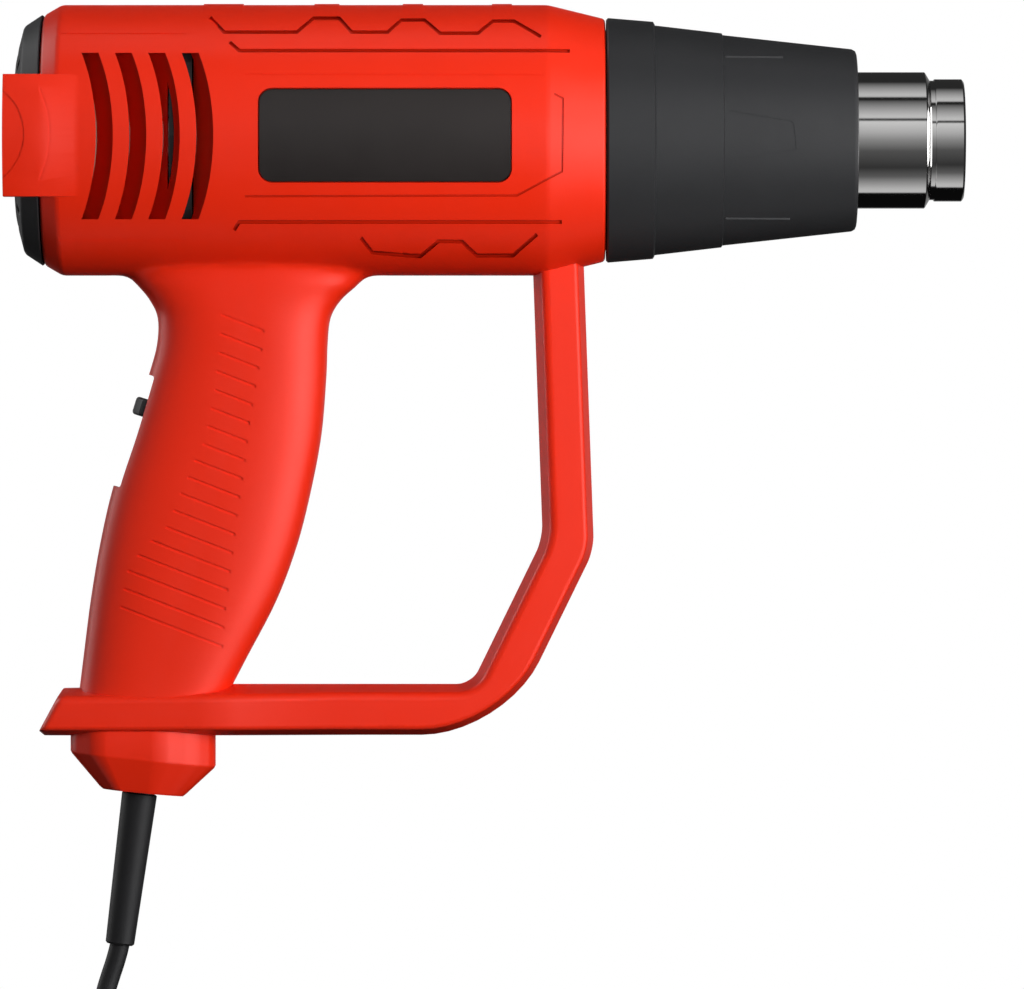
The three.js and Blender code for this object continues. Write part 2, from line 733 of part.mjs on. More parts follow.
const clampZ = footTopZ - CLAMP_BELOW_FOOT_TOP;
const clampX = onBootAxis((clampZ - nubBottomZ) / bootDown.z).x;
const clampScrewXs = [clampX - CLAMP_SCREW_SPAN, clampX + CLAMP_SCREW_SPAN];
const clampSeatY = CORD_RADIUS + GAP;

const rightHalf = cutBy(
  joined(
    housingHalf(-1),
    ...clampScrewXs.map((x) =>
      joined(
        crossBar(x, clampZ, -FOOT_HALF_WIDTH, 0, CLAMP_BOSS_RADIUS).intersect(outer),
        crossBar(x, clampZ, -1, clampSeatY - GAP, CLAMP_BOSS_RADIUS),
      ),
    ),
  ),
  ...screwPlaces.map(({ x, z }) => crossBar(x, z, -SCREW_REACH - 1, 1, SCREW_RADIUS + GAP)),
  ...clampScrewXs.map((x) => crossBar(x, clampZ, -SCREW_REACH - 1, clampSeatY, SCREW_RADIUS + GAP)),
);
const leftHalf = cutBy(
  housingHalf(1),
  ...screwPlaces.map(({ x, z }) => crossBar(x, z, -1, farSide, SCREW_RADIUS + GAP)),
  ...screwPlaces.map(({ x, z, seat }) => crossBar(x, z, seat, farSide, SCREW_HEAD_RADIUS + GAP)),
);
piece("housing_right", rightHalf, "red");
piece("housing_left", leftHalf, "red");

function screw(x, z, tip, seat) {
  return joined(
    crossBar(x, z, tip, seat + 1, SCREW_RADIUS, 6),
    crossBar(x, z, seat + GAP, seat + GAP + SCREW_HEAD_LENGTH, SCREW_HEAD_RADIUS, 8),
  );
}

screwPlaces.forEach(({ x, z, seat }, i) => {
  piece(`housing_screw_${i + 1}`, screw(x, z, -SCREW_REACH, seat), "zinc");
});

// Label plates lie in their recesses.
const labels = labelForm(labelFloor + GAP, labelFloor + GAP + LABEL_THICKNESS, GAP);
const rightSide = block(-farSide, 2 * farSide, -farSide, 0, 0, 2 * farSide);
piece("label_plate_right", labels.intersect(rightSide), "label");
piece("label_plate_left", labels.subtract(rightSide), "label");

// Rear cap: a bezel with recessed marks round a seat for the dial.
const capRadius = BARREL_RADIUS - REAR_CHAMFER_DROP;
const markRadius = capRadius - CAP_EDGE_DROP - MARK_INSET;
const dialRearX = capRearX - DIAL_PROUD;
const dialFrontX = dialRearX + DIAL_DEPTH;
const floorRearX = dialFrontX + GAP;
const floorFrontX = floorRearX + CAP_WALL;
const spigotRadius = rearMouthRadius - GAP;
const spigotFrontX = capFrontX + CAP_SPIGOT;
const bezel = turned([
  [floorRearX, HUB_RADIUS + GAP],
  [floorRearX, DIAL_RADIUS + GAP],
  [capRearX, DIAL_RADIUS + GAP],
  [capRearX, DIAL_RADIUS + CAP_CROWN],
  [capRearX + CAP_CROWN, capRadius - CAP_EDGE_DROP],
  [capFrontX, capRadius],
  [capFrontX, spigotRadius],
  [spigotFrontX, spigotRadius],
  [spigotFrontX, spigotRadius - CAP_WALL],
  [floorFrontX, spigotRadius - CAP_WALL],
  [floorFrontX, HUB_RADIUS + GAP],
  [floorRearX, HUB_RADIUS + GAP],
]);

function markCutter(angle) {
  const bar = block(
    capRearX - 1,
    capRearX + MARK_DEPTH + CAP_CROWN / 2,
    -MARK_WIDTH / 2,
    MARK_WIDTH / 2,
    axisZ + markRadius - MARK_LENGTH / 2,
    axisZ + markRadius + MARK_LENGTH / 2,
  );
  return turnedAbout(bar, angle * degrees);
}

const indexTriangle = new THREE.CylinderGeometry(MARK_LENGTH / 2, MARK_LENGTH / 2, 2 * MARK_DEPTH, 3)
  .rotateZ(Math.PI / 2)
  .rotateX(Math.PI)
  .translate(capRearX + CAP_CROWN / 2, 0, axisZ + markRadius);
piece("rear_cap", cutBy(bezel, ...MARK_ANGLES.map(markCutter), solidOf(indexTriangle)), "black");

// Temperature dial: a dished disc whose hub takes the potentiometer's shaft.
const boreRearX = floorRearX - POT_SHAFT_REACH + CAP_WALL;
const hubFrontX = floorFrontX;
const dishX = dialRearX + DISH_DEPTH;
const dial = turned([
  [dishX, 0],
  [dishX, DISH_RADIUS - DISH_SLOPE],
  [dialRearX, DISH_RADIUS],
  [dialRearX, DIAL_RADIUS - DISH_DEPTH],
  [dishX, DIAL_RADIUS],
  [dialFrontX, DIAL_RADIUS],
  [dialFrontX, HUB_RADIUS],
  [hubFrontX, HUB_RADIUS],
  [hubFrontX, POT_SHAFT_RADIUS + GAP],
  [boreRearX, POT_SHAFT_RADIUS + GAP],
  [boreRearX, 0],
]);
const pointer = block(
  dialRearX - 1,
  dialRearX + MARK_DEPTH,
  -MARK_WIDTH / 3,
  MARK_WIDTH / 3,
  axisZ + DISH_RADIUS + DISH_SLOPE,
  axisZ + DIAL_RADIUS - DISH_SLOPE,
);
piece("temperature_dial", dial.subtract(pointer), "black");

// Potentiometer on the control board, which seats on the cap's spigot.
const boardRearX = spigotFrontX + GAP;
const boardFrontX = boardRearX + BOARD_THICKNESS;
const potFrontX = boardRearX - GAP;
const potRearX = floorFrontX + GAP;
piece("potentiometer_body", rod(potRearX, potFrontX, POT_RADIUS), "zinc");
piece("potentiometer_shaft", rod(boreRearX + GAP, potRearX - GAP, POT_SHAFT_RADIUS, 16), "nylon");
const boardRadius = spigotRadius - GAP;
piece("control_board", rod(boardRearX, boardFrontX, boardRadius, ROUND_SIDES), "board");

const onBoardX = boardFrontX + GAP;
const boardPartY = boardRadius - BOARD_PART_INSET;

function boardPart(middleY, depth, width, height) {
  return block(
    onBoardX,
    onBoardX + depth,
    middleY - width / 2,
    middleY + width / 2,
    axisZ - height / 2,
    axisZ + height / 2,
  );
}

piece("board_triac", boardPart(boardPartY, TRIAC_DEPTH, TRIAC_WIDTH, TRIAC_HEIGHT), "magnet");
piece(
  "board_capacitor",
  boardPart(-boardPartY, CAPACITOR_DEPTH, CAPACITOR_WIDTH, CAPACITOR_HEIGHT),
  "wire",
);

// Motor: a can with two magnets, an armature on its shaft, and a nylon end cap.
const motorFrontX = MOTOR_X + MOTOR_LENGTH;
const canInner = MOTOR_RADIUS - MOTOR_CAN_WALL;
const bearingRadius = SHAFT_RADIUS + GAP;
piece(
  "motor_can",
  turned(
    [
      [MOTOR_X, canInner],
      [MOTOR_X, MOTOR_RADIUS],
      [motorFrontX, MOTOR_RADIUS],
      [motorFrontX, bearingRadius],
      [motorFrontX - 2 * MOTOR_CAN_WALL, bearingRadius],
      [motorFrontX - 2 * MOTOR_CAN_WALL, canInner],
      [MOTOR_X, canInner],
    ],
    INNER_SIDES,
  ),
  "zinc",
);
const endCapRearX = MOTOR_X - GAP - MOTOR_CAP_LENGTH;
piece("motor_end_cap", ring(endCapRearX, MOTOR_X - GAP, bearingRadius, MOTOR_RADIUS, INNER_SIDES), "nylon");

const magnetOuter = canInner - GAP;
const magnetInner = magnetOuter - MAGNET_THICKNESS;
const magnetX = MOTOR_X + (MOTOR_LENGTH - MAGNET_LENGTH) / 2 - MOTOR_CAN_WALL;
const magnetRing = ring(magnetX, magnetX + MAGNET_LENGTH, magnetInner, magnetOuter, INNER_SIDES);
const magnetSpans = [
  [axisZ + MAGNET_THICKNESS, axisZ + MOTOR_RADIUS],
  [axisZ - MOTOR_RADIUS, axisZ - MAGNET_THICKNESS],
];
magnetSpans.forEach(([low, high], i) => {
  const kept = block(MOTOR_X, motorFrontX, -MOTOR_RADIUS, MOTOR_RADIUS, low, high);
  piece(`motor_magnet_${i + 1}`, magnetRing.intersect(kept), "magnet");
});

const armatureX = magnetX + (MAGNET_LENGTH - ARMATURE_LENGTH) / 2;
piece(
  "motor_armature",
  ring(armatureX, armatureX + ARMATURE_LENGTH, bearingRadius, magnetInner - 2 * GAP, INNER_SIDES),
  "alloy",
);
const shaftFrontX = FAN_X + FAN_LENGTH + SHAFT_PROUD;
piece("motor_shaft", rod(endCapRearX - SHAFT_PROUD, shaftFrontX, SHAFT_RADIUS, 12), "steel");

// Fan: pitched blades on a hub.
const fanRadius = cavityRadius - FAN_CLEARANCE;
const bladeSpan = fanRadius - FAN_HUB_RADIUS + BLADE_ROOT;
const bladeChord = (FAN_LENGTH - BLADE_THICKNESS) / Math.cos(FAN_PITCH * degrees);
const blade = new THREE.BoxGeometry(bladeChord, BLADE_THICKNESS, bladeSpan)
  .rotateZ(FAN_PITCH * degrees)
  .translate(FAN_X + FAN_LENGTH / 2, 0, axisZ + fanRadius - bladeSpan / 2);
const blades = Array.from({ length: FAN_BLADES }, (_, i) =>
  turnedAbout(solidOf(blade), (2 * Math.PI * i) / FAN_BLADES),
);
const fanHub = ring(FAN_X, FAN_X + FAN_LENGTH, bearingRadius, FAN_HUB_RADIUS, INNER_SIDES);
piece("fan_impeller", joined(fanHub, ...blades), "black");

// Rings with arms that seat on the housing wall: the motor's bracket and the air guide.
const seatRadius = cavityRadius - GAP;

function armedRing(rearX, length, hub, hubOuter, arms, firstAngle) {
  const rim = ring(rearX, rearX + length, seatRadius - RING_WALL, seatRadius, INNER_SIDES);
  const reach = seatRadius - RING_WALL / 2;
  const arm = block(
    rearX,
    rearX + length,
    -RING_WALL / 2,
    RING_WALL / 2,
    axisZ + hubOuter - RING_WALL / 2,
    axisZ + reach,
  );
  const spokes = Array.from({ length: arms }, (_, i) =>
    turnedAbout(arm, firstAngle + (2 * Math.PI * i) / arms),
  );
  return joined(rim, hub, ...spokes);
}

const collarInner = MOTOR_RADIUS + GAP;
const collarOuter = collarInner + RING_WALL;
const collar = ring(BRACKET_X, BRACKET_X + BRACKET_LENGTH, collarInner, collarOuter, INNER_SIDES);
piece("motor_bracket", armedRing(BRACKET_X, BRACKET_LENGTH, collar, collarOuter, 4, Math.PI / 4), "black");

const guideHub = rod(GUIDE_X, GUIDE_X + GUIDE_LENGTH, GUIDE_HUB_RADIUS, INNER_SIDES);
piece(
  "air_guide",
  armedRing(GUIDE_X, GUIDE_LENGTH, guideHub, GUIDE_HUB_RADIUS, GUIDE_VANES, 0),
  "black",
);

// Front nose: a stepped cone, held by a bead on its spigot behind the housing's mouth.
const noseSpigotRadius = mouthRadius - GAP;
const spigotInner = noseSpigotRadius - SPIGOT_WALL;
const flangeRadius = spigotInner - GAP;
const heaterScrewCircle = flangeRadius - HEATER_SCREW_INSET;
const ledgeX = noseRearX + BASE_THICKNESS / 2;
const ledgeInner = spigotInner - LEDGE_DEPTH;
const frontHole = TUBE_RADIUS + 2 * GAP;
const noseRoot = BARREL_RADIUS - FRONT_CHAMFER_DROP;
const noseSteps = [
  [noseRearX, noseRoot],
  [noseRearX + NOSE_FIRST_STEP - GAP, noseRoot - NOSE_ROOT_DROP],
  [noseRearX + NOSE_FIRST_STEP, NOSE_FIRST_RADIUS],
  [noseRearX + NOSE_SECOND_STEP - GAP, NOSE_BELLY_RADIUS],
  [noseRearX + NOSE_SECOND_STEP, NOSE_SECOND_RADIUS],
  [noseFrontX - NOSE_EDGE, NOSE_TIP_RADIUS],
  [noseFrontX, NOSE_TIP_RADIUS - NOSE_EDGE],
];
const beadFrontX = noseRearX - NOSE_SPIGOT;
const beadRearX = beadFrontX - BEAD_LENGTH;
const mouthSlope = FRONT_CHAMFER_DROP / FRONT_CHAMFER_LENGTH;
const beadRadius = noseSpigotRadius + (BARREL_FRONT_X - beadFrontX) * mouthSlope - GAP;
const nose = turned([
  [beadRearX, spigotInner],
  [beadRearX, beadRadius],
  [beadFrontX, beadRadius],
  [beadFrontX, noseSpigotRadius],
  [noseRearX, noseSpigotRadius],
  ...noseSteps,
  [noseFrontX, frontHole],
  [noseFrontX - NOSE_WALL, frontHole],
  [noseFrontX - NOSE_WALL, NOSE_TIP_RADIUS - NOSE_WALL],
  [noseRearX + NOSE_SECOND_STEP, NOSE_SECOND_RADIUS - NOSE_WALL],
  [ledgeX + NOSE_WALL, NOSE_FIRST_RADIUS - NOSE_WALL],
  [ledgeX + NOSE_WALL, ledgeInner],
  [ledgeX, ledgeInner],
  [ledgeX, spigotInner],
  [beadRearX, spigotInner],
]);
const heaterScrewAngles = [0, 120, 240];

function heaterBar(rearX, frontX, radius) {
  const bar = new THREE.CylinderGeometry(radius, radius, frontX - rearX, SMALL_SIDES)
    .rotateZ(Math.PI / 2)
    .translate((rearX + frontX) / 2, 0, axisZ + heaterScrewCircle);
  return heaterScrewAngles.map((angle) => turnedAbout(solidOf(bar), angle * degrees));
}

const screwHoleRadius = HEATER_SCREW_RADIUS + GAP;
const screwTipX = ledgeX + HEATER_SCREW_BITE;
piece("front_nose", cutBy(nose, ...heaterBar(ledgeX - GAP, screwTipX + GAP, screwHoleRadius)), "black");

// Outlet tube: steel, flanged at the rear and stepped down to a smaller end for push-on fittings.
const flangeFrontX = ledgeX - GAP;
const flangeRearX = flangeFrontX - TUBE_WALL;
const tubeFrontX = noseFrontX + TUBE_REACH;
const stepX = tubeFrontX - TUBE_END_LENGTH;
const shoulderX = stepX - TUBE_SHOULDER;
const neckRadius = TUBE_END_RADIUS - GAP;
const tubeInner = TUBE_RADIUS - TUBE_WALL;
const outletTube = turned([
  [flangeRearX, tubeInner],
  [flangeRearX, flangeRadius],
  [flangeFrontX, flangeRadius],
  [flangeFrontX, TUBE_RADIUS],
  [shoulderX, TUBE_RADIUS],
  [shoulderX + TUBE_SHOULDER / 2, (TUBE_RADIUS + TUBE_END_RADIUS) / 2],
  [stepX - TUBE_WALL, neckRadius],
  [stepX, neckRadius],
  [stepX + GAP, TUBE_END_RADIUS],
  [tubeFrontX - GAP, TUBE_END_RADIUS],
  [tubeFrontX, TUBE_END_RADIUS - GAP],
  [tubeFrontX, neckRadius - TUBE_WALL],
  [stepX - TUBE_WALL, neckRadius - TUBE_WALL],
  [shoulderX, tubeInner],
  [flangeRearX, tubeInner],
]);
const flangeHoles = heaterBar(flangeRearX - GAP, flangeFrontX + GAP, screwHoleRadius);
piece("outlet_tube", cutBy(outletTube, ...flangeHoles), "steel");

// Heater base: a ceramic ring with a cross that the mica core stands on.
const baseFrontX = flangeRearX - GAP;
const baseRearX = baseFrontX - BASE_THICKNESS;
const crossBarHalf = 2 * CORE_THICKNESS;
const baseCross = [
  block(baseRearX, baseFrontX, -crossBarHalf, crossBarHalf, axisZ - tubeInner, axisZ + tubeInner),
  block(baseRearX, baseFrontX, -tubeInner, tubeInner, axisZ - crossBarHalf, axisZ + crossBarHalf),
];
const base = joined(
  ring(baseRearX, baseFrontX, tubeInner - MICA_WALL, flangeRadius, INNER_SIDES),
  ...baseCross,
);
const baseHoles = heaterBar(baseRearX - GAP, baseFrontX + GAP, screwHoleRadius);
piece("heater_base", cutBy(base, ...baseHoles), "ceramic");

const headFrontX = baseRearX - GAP;
const headRearX = headFrontX - HEATER_SCREW_HEAD_LENGTH;
const heads = heaterBar(headRearX, headFrontX, HEATER_SCREW_HEAD_RADIUS);
const shanks = heaterBar(headFrontX - GAP, screwTipX, HEATER_SCREW_RADIUS);
heads.forEach((head, i) => {
  piece(`heater_screw_${i + 1}`, head.add(shanks[i]), "zinc");
});

// Mica sleeve in the tube, and the mica cross that carries the coil.
const sleeveRearX = baseFrontX + GAP;
const sleeveFrontX = shoulderX - GAP;
const sleeveOuter = tubeInner - GAP;
piece("mica_sleeve", ring(sleeveRearX, sleeveFrontX, sleeveOuter - MICA_WALL, sleeveOuter), "mica");

const coreFrontX = sleeveFrontX - CORE_SETBACK;
const coreHalf = CORE_THICKNESS / 2;
const core = joined(
  block(sleeveRearX, coreFrontX, -coreHalf, coreHalf, axisZ - CORE_HALF_WIDTH, axisZ + CORE_HALF_WIDTH),
  block(sleeveRearX, coreFrontX, -CORE_HALF_WIDTH, CORE_HALF_WIDTH, axisZ - coreHalf, axisZ + coreHalf),
);
piece("heater_core", core, "mica");

// Heater coil: one wire wound round the core.
const coreCorner = Math.hypot(CORE_HALF_WIDTH, coreHalf);
const coilHalfStep = Math.PI / COIL_STEPS;
const coilRadius = (coreCorner + GAP + COIL_WIRE_RADIUS) / Math.cos(coilHalfStep);
const coilStartX = sleeveRearX + COIL_REAR_MARGIN;
const coilEndX = coreFrontX - COIL_FRONT_MARGIN;
const coilPoints = Array.from({ length: COIL_TURNS * COIL_STEPS + 1 }, (_, i) => {
  const angle = (2 * i + 1) * coilHalfStep;
  const x = THREE.MathUtils.mapLinear(i, 0, COIL_TURNS * COIL_STEPS, coilStartX, coilEndX);
  return new THREE.Vector3(x, coilRadius * Math.cos(angle), axisZ + coilRadius * Math.sin(angle));
});
const coilWire = loft(
  coilPoints.map((point) => {
    const outwards = new THREE.Vector3(0, point.y, point.z - axisZ).normalize();
    return Array.from({ length: COIL_SIDES }, (_, k) => {
      const angle = (2 * Math.PI * k) / COIL_SIDES;
      return point
        .clone()
        .addScaledVector(outwards, COIL_WIRE_RADIUS * Math.cos(angle))
        .setX(point.x + COIL_WIRE_RADIUS * Math.sin(angle));
    });
  }),
);
const coilPitch = (coilEndX - coilStartX) / COIL_TURNS;
console.log(`heater coil: least gap between turns ${(coilPitch - 2 * COIL_WIRE_RADIUS).toFixed(2)} mm`);
piece("heater_coil", coilWire, "alloy");

// Thermal fuse lying on the rear of the heater base.
const fuseX = baseRearX - GAP - FUSE_RADIUS;
const fuseZ = axisZ - (tubeInner + flangeRadius) / 2;
piece("thermal_fuse", crossBar(fuseX, fuseZ, -FUSE_LENGTH / 2, FUSE_LENGTH / 2, FUSE_RADIUS, 12), "brass");

// Switch: a plate in the slot, a slider with two legs, and the switch body behind.
const bodyX = plateInnerX + GAP;
const slitHalfLength = (SLIDER_TRAVEL + 2 * SLIDER_HALF_LENGTH) / 2 + GAP;
const legEndX = bodyX + LEG_REACH;
const slits = [1, -1].map((side) =>
  block(
    0,
    legEndX + GAP,
    Math.min(side * (LEG_INNER_Y - GAP), side * (LEG_OUTER_Y + GAP)),
    Math.max(side * (LEG_INNER_Y - GAP), side * (LEG_OUTER_Y + GAP)),
    -slitHalfLength,
    slitHalfLength,
  ),
);
const plateHalfWidth = SLOT_HALF_WIDTH - GAP;
const plateHalfLength = SLOT_HALF_LENGTH - GAP;
const switchPlate = block(
  SWITCH_PLATE_DEPTH,
  plateInnerX,
  -plateHalfWidth,
  plateHalfWidth,
  -plateHalfLength,
  plateHalfLength,
);
piece("switch_plate", cutBy(switchPlate, ...slits), "black", switchGroup);

const switchBody = block(
  bodyX,
  bodyX + SWITCH_BODY_DEPTH,
  -SWITCH_BODY_HALF_WIDTH,
  SWITCH_BODY_HALF_WIDTH,
  -SWITCH_BODY_HALF_LENGTH,
  SWITCH_BODY_HALF_LENGTH,
);
piece("switch_body", cutBy(switchBody, ...slits), "magnet", switchGroup);

const sliderZ = SLIDER_TRAVEL / 2;
const sliderTop = sliderZ + SLIDER_HALF_LENGTH;
const sliderBottom = sliderZ - SLIDER_HALF_LENGTH;
const ridge = block(
  -SLIDER_PROUD,
  SWITCH_PLATE_DEPTH - GAP,
  -plateHalfWidth + GAP,
  plateHalfWidth - GAP,
  sliderBottom,
  sliderTop,
);
const legs = [1, -1].map((side) =>
  block(
    0,
    legEndX,
    Math.min(side * LEG_INNER_Y, side * LEG_OUTER_Y),
    Math.max(side * LEG_INNER_Y, side * LEG_OUTER_Y),
    sliderBottom,
    sliderTop,
  ),
);
piece("switch_slider", joined(ridge, ...legs), "black", switchGroup);

// Cord boot: a flanged rubber sleeve in the nub's hole.
const bootGroup = new THREE.Group();
bootGroup.position.copy(bootRoot);
bootGroup.rotation.y = BOOT_TILT * degrees;
tool.add(bootGroup);
const boreRadius = CORD_RADIUS + GAP;
const flangeFoot = WALL + 2 * GAP + BOOT_FLANGE_RADIUS * Math.sin(BOOT_TILT * degrees);
const shoulder = -2 * GAP - BOOT_ROOT_RADIUS * Math.sin(BOOT_TILT * degrees);
const bootProfile = [
  [boreRadius, -BOOT_LENGTH],
  [BOOT_TIP_RADIUS, -BOOT_LENGTH],
  [BOOT_ROOT_RADIUS, shoulder],
  [BOOT_NECK_RADIUS, shoulder],
  [BOOT_NECK_RADIUS, flangeFoot],
  [BOOT_FLANGE_RADIUS, flangeFoot],
  [BOOT_FLANGE_RADIUS, flangeFoot + BOOT_FLANGE_LENGTH],
  [boreRadius, flangeFoot + BOOT_FLANGE_LENGTH],
  [boreRadius, -BOOT_LENGTH],
].map(([radius, height]) => new THREE.Vector2(radius, height));
const bootForm = new THREE.LatheGeometry(bootProfile, INNER_SIDES).rotateX(Math.PI / 2);
piece("cord_boot", bootForm, "rubber", bootGroup);

// Clamp bar across the cord on two bosses of the right half.
const clampBar = cutBy(
  block(
    clampX - CLAMP_HALF_SPAN,
    clampX + CLAMP_HALF_SPAN,
    clampSeatY,
    clampSeatY + CLAMP_THICKNESS,
    clampZ - CLAMP_HALF_HEIGHT,
    clampZ + CLAMP_HALF_HEIGHT,
  ),
  ...clampScrewXs.map((x) => crossBar(x, clampZ, 0, FOOT_HALF_WIDTH, SCREW_RADIUS + GAP)),
);
piece("cord_clamp", clampBar, "nylon");
clampScrewXs.forEach((x, i) => {
  piece(`clamp_screw_${i + 1}`, screw(x, clampZ, -SCREW_REACH, clampSeatY + CLAMP_THICKNESS), "zinc");
});

// Mains cord: from the clamp through the boot, down into the hank, and out to the plug.
const hankOuter = HANK_FOLD_RADIUS + (HANK_PITCH * HANK_HALF_TURNS) / 4;
const runTopZ = HANK_Z + HANK_RUN / 2;
const hankEndZ = runTopZ + 2 * CORD_RADIUS;
const leadPoints = [
  ...[-CORD_INSIDE, -CORD_INSIDE / 2, 0, BOOT_LENGTH / 2, BOOT_LENGTH].map((d) => onBootAxis(d).toArray()),
  [-27.7, 0, -132.6],
  [-29, 0, -136.6],
  [-30.3, -0.3, -141],
  [-31.7, -1.1, -148],
  [-33, -2.1, -157],
  [-33.8, -2.9, -167],
  [HANK_X - hankOuter, -HANK_LAYER / 2, hankEndZ + CORD_RADIUS],
  [HANK_X - hankOuter, -HANK_LAYER / 2, hankEndZ + GAP],
];
piece("power_cord_lead", tube(leadPoints, CORD_RADIUS, 10, 20), "rubber");

// Hank: runs drawn in at the waist and joined by folds, in to the middle on one layer and out on the next.
const middleHalfTurn = HANK_HALF_TURNS / 2;

function foldRadius(halfTurn) {
  return hankOuter - (HANK_PITCH / 2) * Math.min(halfTurn, HANK_HALF_TURNS - halfTurn);
}

const hankPoints = [new THREE.Vector3(HANK_X - hankOuter, -HANK_LAYER / 2, hankEndZ)];
for (let halfTurn = 0; halfTurn < HANK_HALF_TURNS; halfTurn++) {
  const side = halfTurn % 2 === 0 ? -1 : 1;
  const radius = foldRadius(halfTurn);
  for (let i = 0; i < RUN_STEPS; i++) {
    const share = i / RUN_STEPS;
    const waist = HANK_WAIST * Math.sin(Math.PI * share) ** 2;
    const climb = THREE.MathUtils.smoothstep(halfTurn + share, middleHalfTurn, middleHalfTurn + 1);
    const z = HANK_Z + side * HANK_RUN * (share - 0.5);
    hankPoints.push(
      new THREE.Vector3(HANK_X + side * (radius - waist), HANK_LAYER * (climb - 0.5), z),
    );
  }
  const layer = halfTurn < middleHalfTurn ? -HANK_LAYER / 2 : HANK_LAYER / 2;
  const runEndZ = HANK_Z + (side * HANK_RUN) / 2;
  const lastTurn = halfTurn === HANK_HALF_TURNS - 1;
  for (let i = 0; i < (lastTurn ? 1 : FOLD_STEPS); i++) {
    const share = i / FOLD_STEPS;
    const angle = Math.PI * share;
    const eased = THREE.MathUtils.smoothstep(share, 0, 1);
    const bend = THREE.MathUtils.lerp(radius, foldRadius(halfTurn + 1), eased);
    hankPoints.push(
      new THREE.Vector3(
        HANK_X + side * bend * Math.cos(angle),
        layer,
        runEndZ + side * bend * Math.sin(angle),
      ),
    );
  }
}

const lastRunX = HANK_X + foldRadius(HANK_HALF_TURNS - 1);
hankPoints.push(new THREE.Vector3(lastRunX, HANK_LAYER / 2, hankEndZ));

// Least gap of a round cord to itself, past the few diameters beside each point, and its length.
function selfGap(points, radius) {
  const along = [0];
  points.slice(1).forEach((point, i) => along.push(along[i] + point.distanceTo(points[i])));
  const near = 8 * radius;
  const segment = new THREE.Line3();
  const nearest = new THREE.Vector3();
  let least = Infinity;
  points.forEach((point, i) => {
    for (let k = 0; k < points.length - 1; k++) {
      const apart = Math.min(Math.abs(along[k] - along[i]), Math.abs(along[k + 1] - along[i]));
      if (apart < near) continue;
      segment.set(points[k], points[k + 1]).closestPointToPoint(point, true, nearest);
      least = Math.min(least, nearest.distanceTo(point) - 2 * radius);
    }
  });
  return { least, length: along.at(-1) };
}

const hankMeasure = selfGap(hankPoints, CORD_RADIUS);
console.log(`cord hank: least gap to itself ${hankMeasure.least.toFixed(2)} mm`);
console.log(`cord hank: length ${hankMeasure.length.toFixed(0)} mm`);
piece("power_cord_hank", sweep(hankPoints, CORD_RADIUS, HANK_SIDES), "rubber");

// Tie round the waist of the hank.
const waistAtTieEdge = HANK_WAIST * Math.cos((Math.PI * TIE_HEIGHT) / HANK_RUN) ** 2;
const tieHalfX = hankOuter - waistAtTieEdge + CORD_RADIUS + 2 * GAP;
const tieHalfY = HANK_LAYER / 2 + CORD_RADIUS + 2 * GAP;
const tieOuter = rectangle(
  -tieHalfX - TIE_THICKNESS,
  -tieHalfY - TIE_THICKNESS,
  tieHalfX + TIE_THICKNESS,
  tieHalfY + TIE_THICKNESS,
  tieHalfY,
);
tieOuter.holes.push(rectangle(-tieHalfX, -tieHalfY, tieHalfX, tieHalfY, tieHalfY - TIE_THICKNESS));
piece("cord_tie", raised(tieOuter, TIE_HEIGHT).translate(HANK_X, 0, HANK_Z - TIE_HEIGHT / 2), "rubber");

// Tail: over the top of the hank and down to the plug, which lies on the hank.
const plugY = tieHalfY + TIE_THICKNESS + GAP + PLUG_HALF_THICKNESS;
const plugRearZ = HANK_Z + PLUG_ABOVE_WAIST;
const tailPoints = [
  [lastRunX, HANK_LAYER / 2, hankEndZ + GAP],
  [lastRunX, HANK_LAYER / 2 + 0.4, hankEndZ + 4],
  [HANK_X + 28, 6.4, HANK_Z + 61],
  [HANK_X + 22.5, 10, HANK_Z + 67.5],
  [HANK_X + 12, 13.6, HANK_Z + 71.5],
  [HANK_X + 1, 16.8, HANK_Z + 69.5],
  [HANK_X - 7, 18.8, HANK_Z + 62],
  [PLUG_X, plugY, HANK_Z + 52],
  [PLUG_X, plugY, HANK_Z + 40],
  [PLUG_X, plugY, plugRearZ + GAP],
];
piece("power_cord_tail", tube(tailPoints, CORD_RADIUS, 10, 14), "rubber");

// Plug: a moulded body with two flat blades.
function plugLevel(distance, halfWidth, halfThickness) {
  const z = plugRearZ - distance;
  const level = levelRing(z, PLUG_X - halfWidth, PLUG_X + halfWidth, halfThickness, PLUG_SQUARENESS);
  return level.map((point) => point.setY(point.y + plugY));
}

const plugFaceZ = plugRearZ - PLUG_LENGTH;
const neckEnd = PLUG_NECK_RADIUS + PLUG_NECK_FLARE;
const plugForm = loft([
  plugLevel(0, PLUG_NECK_RADIUS, PLUG_NECK_RADIUS),
  plugLevel(PLUG_NECK_LENGTH, neckEnd, neckEnd),
  plugLevel(PLUG_NECK_LENGTH + PLUG_FLARE_LENGTH, PLUG_HALF_WIDTH, PLUG_HALF_THICKNESS),
  plugLevel(PLUG_LENGTH, PLUG_HALF_WIDTH, PLUG_HALF_THICKNESS),
]);
piece("plug_body", plugForm, "rubber");
[-1, 1].forEach((side, i) => {
  const x = PLUG_X + (side * BLADE_SPACING) / 2;
  const bladeSolid = block(
    x - BLADE_DEPTH / 2,
    x + BLADE_DEPTH / 2,
    plugY - BLADE_WIDTH / 2,
    plugY + BLADE_WIDTH / 2,
    plugFaceZ - GAP - BLADE_LENGTH,
    plugFaceZ - GAP,
  );
  piece(`plug_blade_${i + 1}`, bladeSolid, "brass");
});

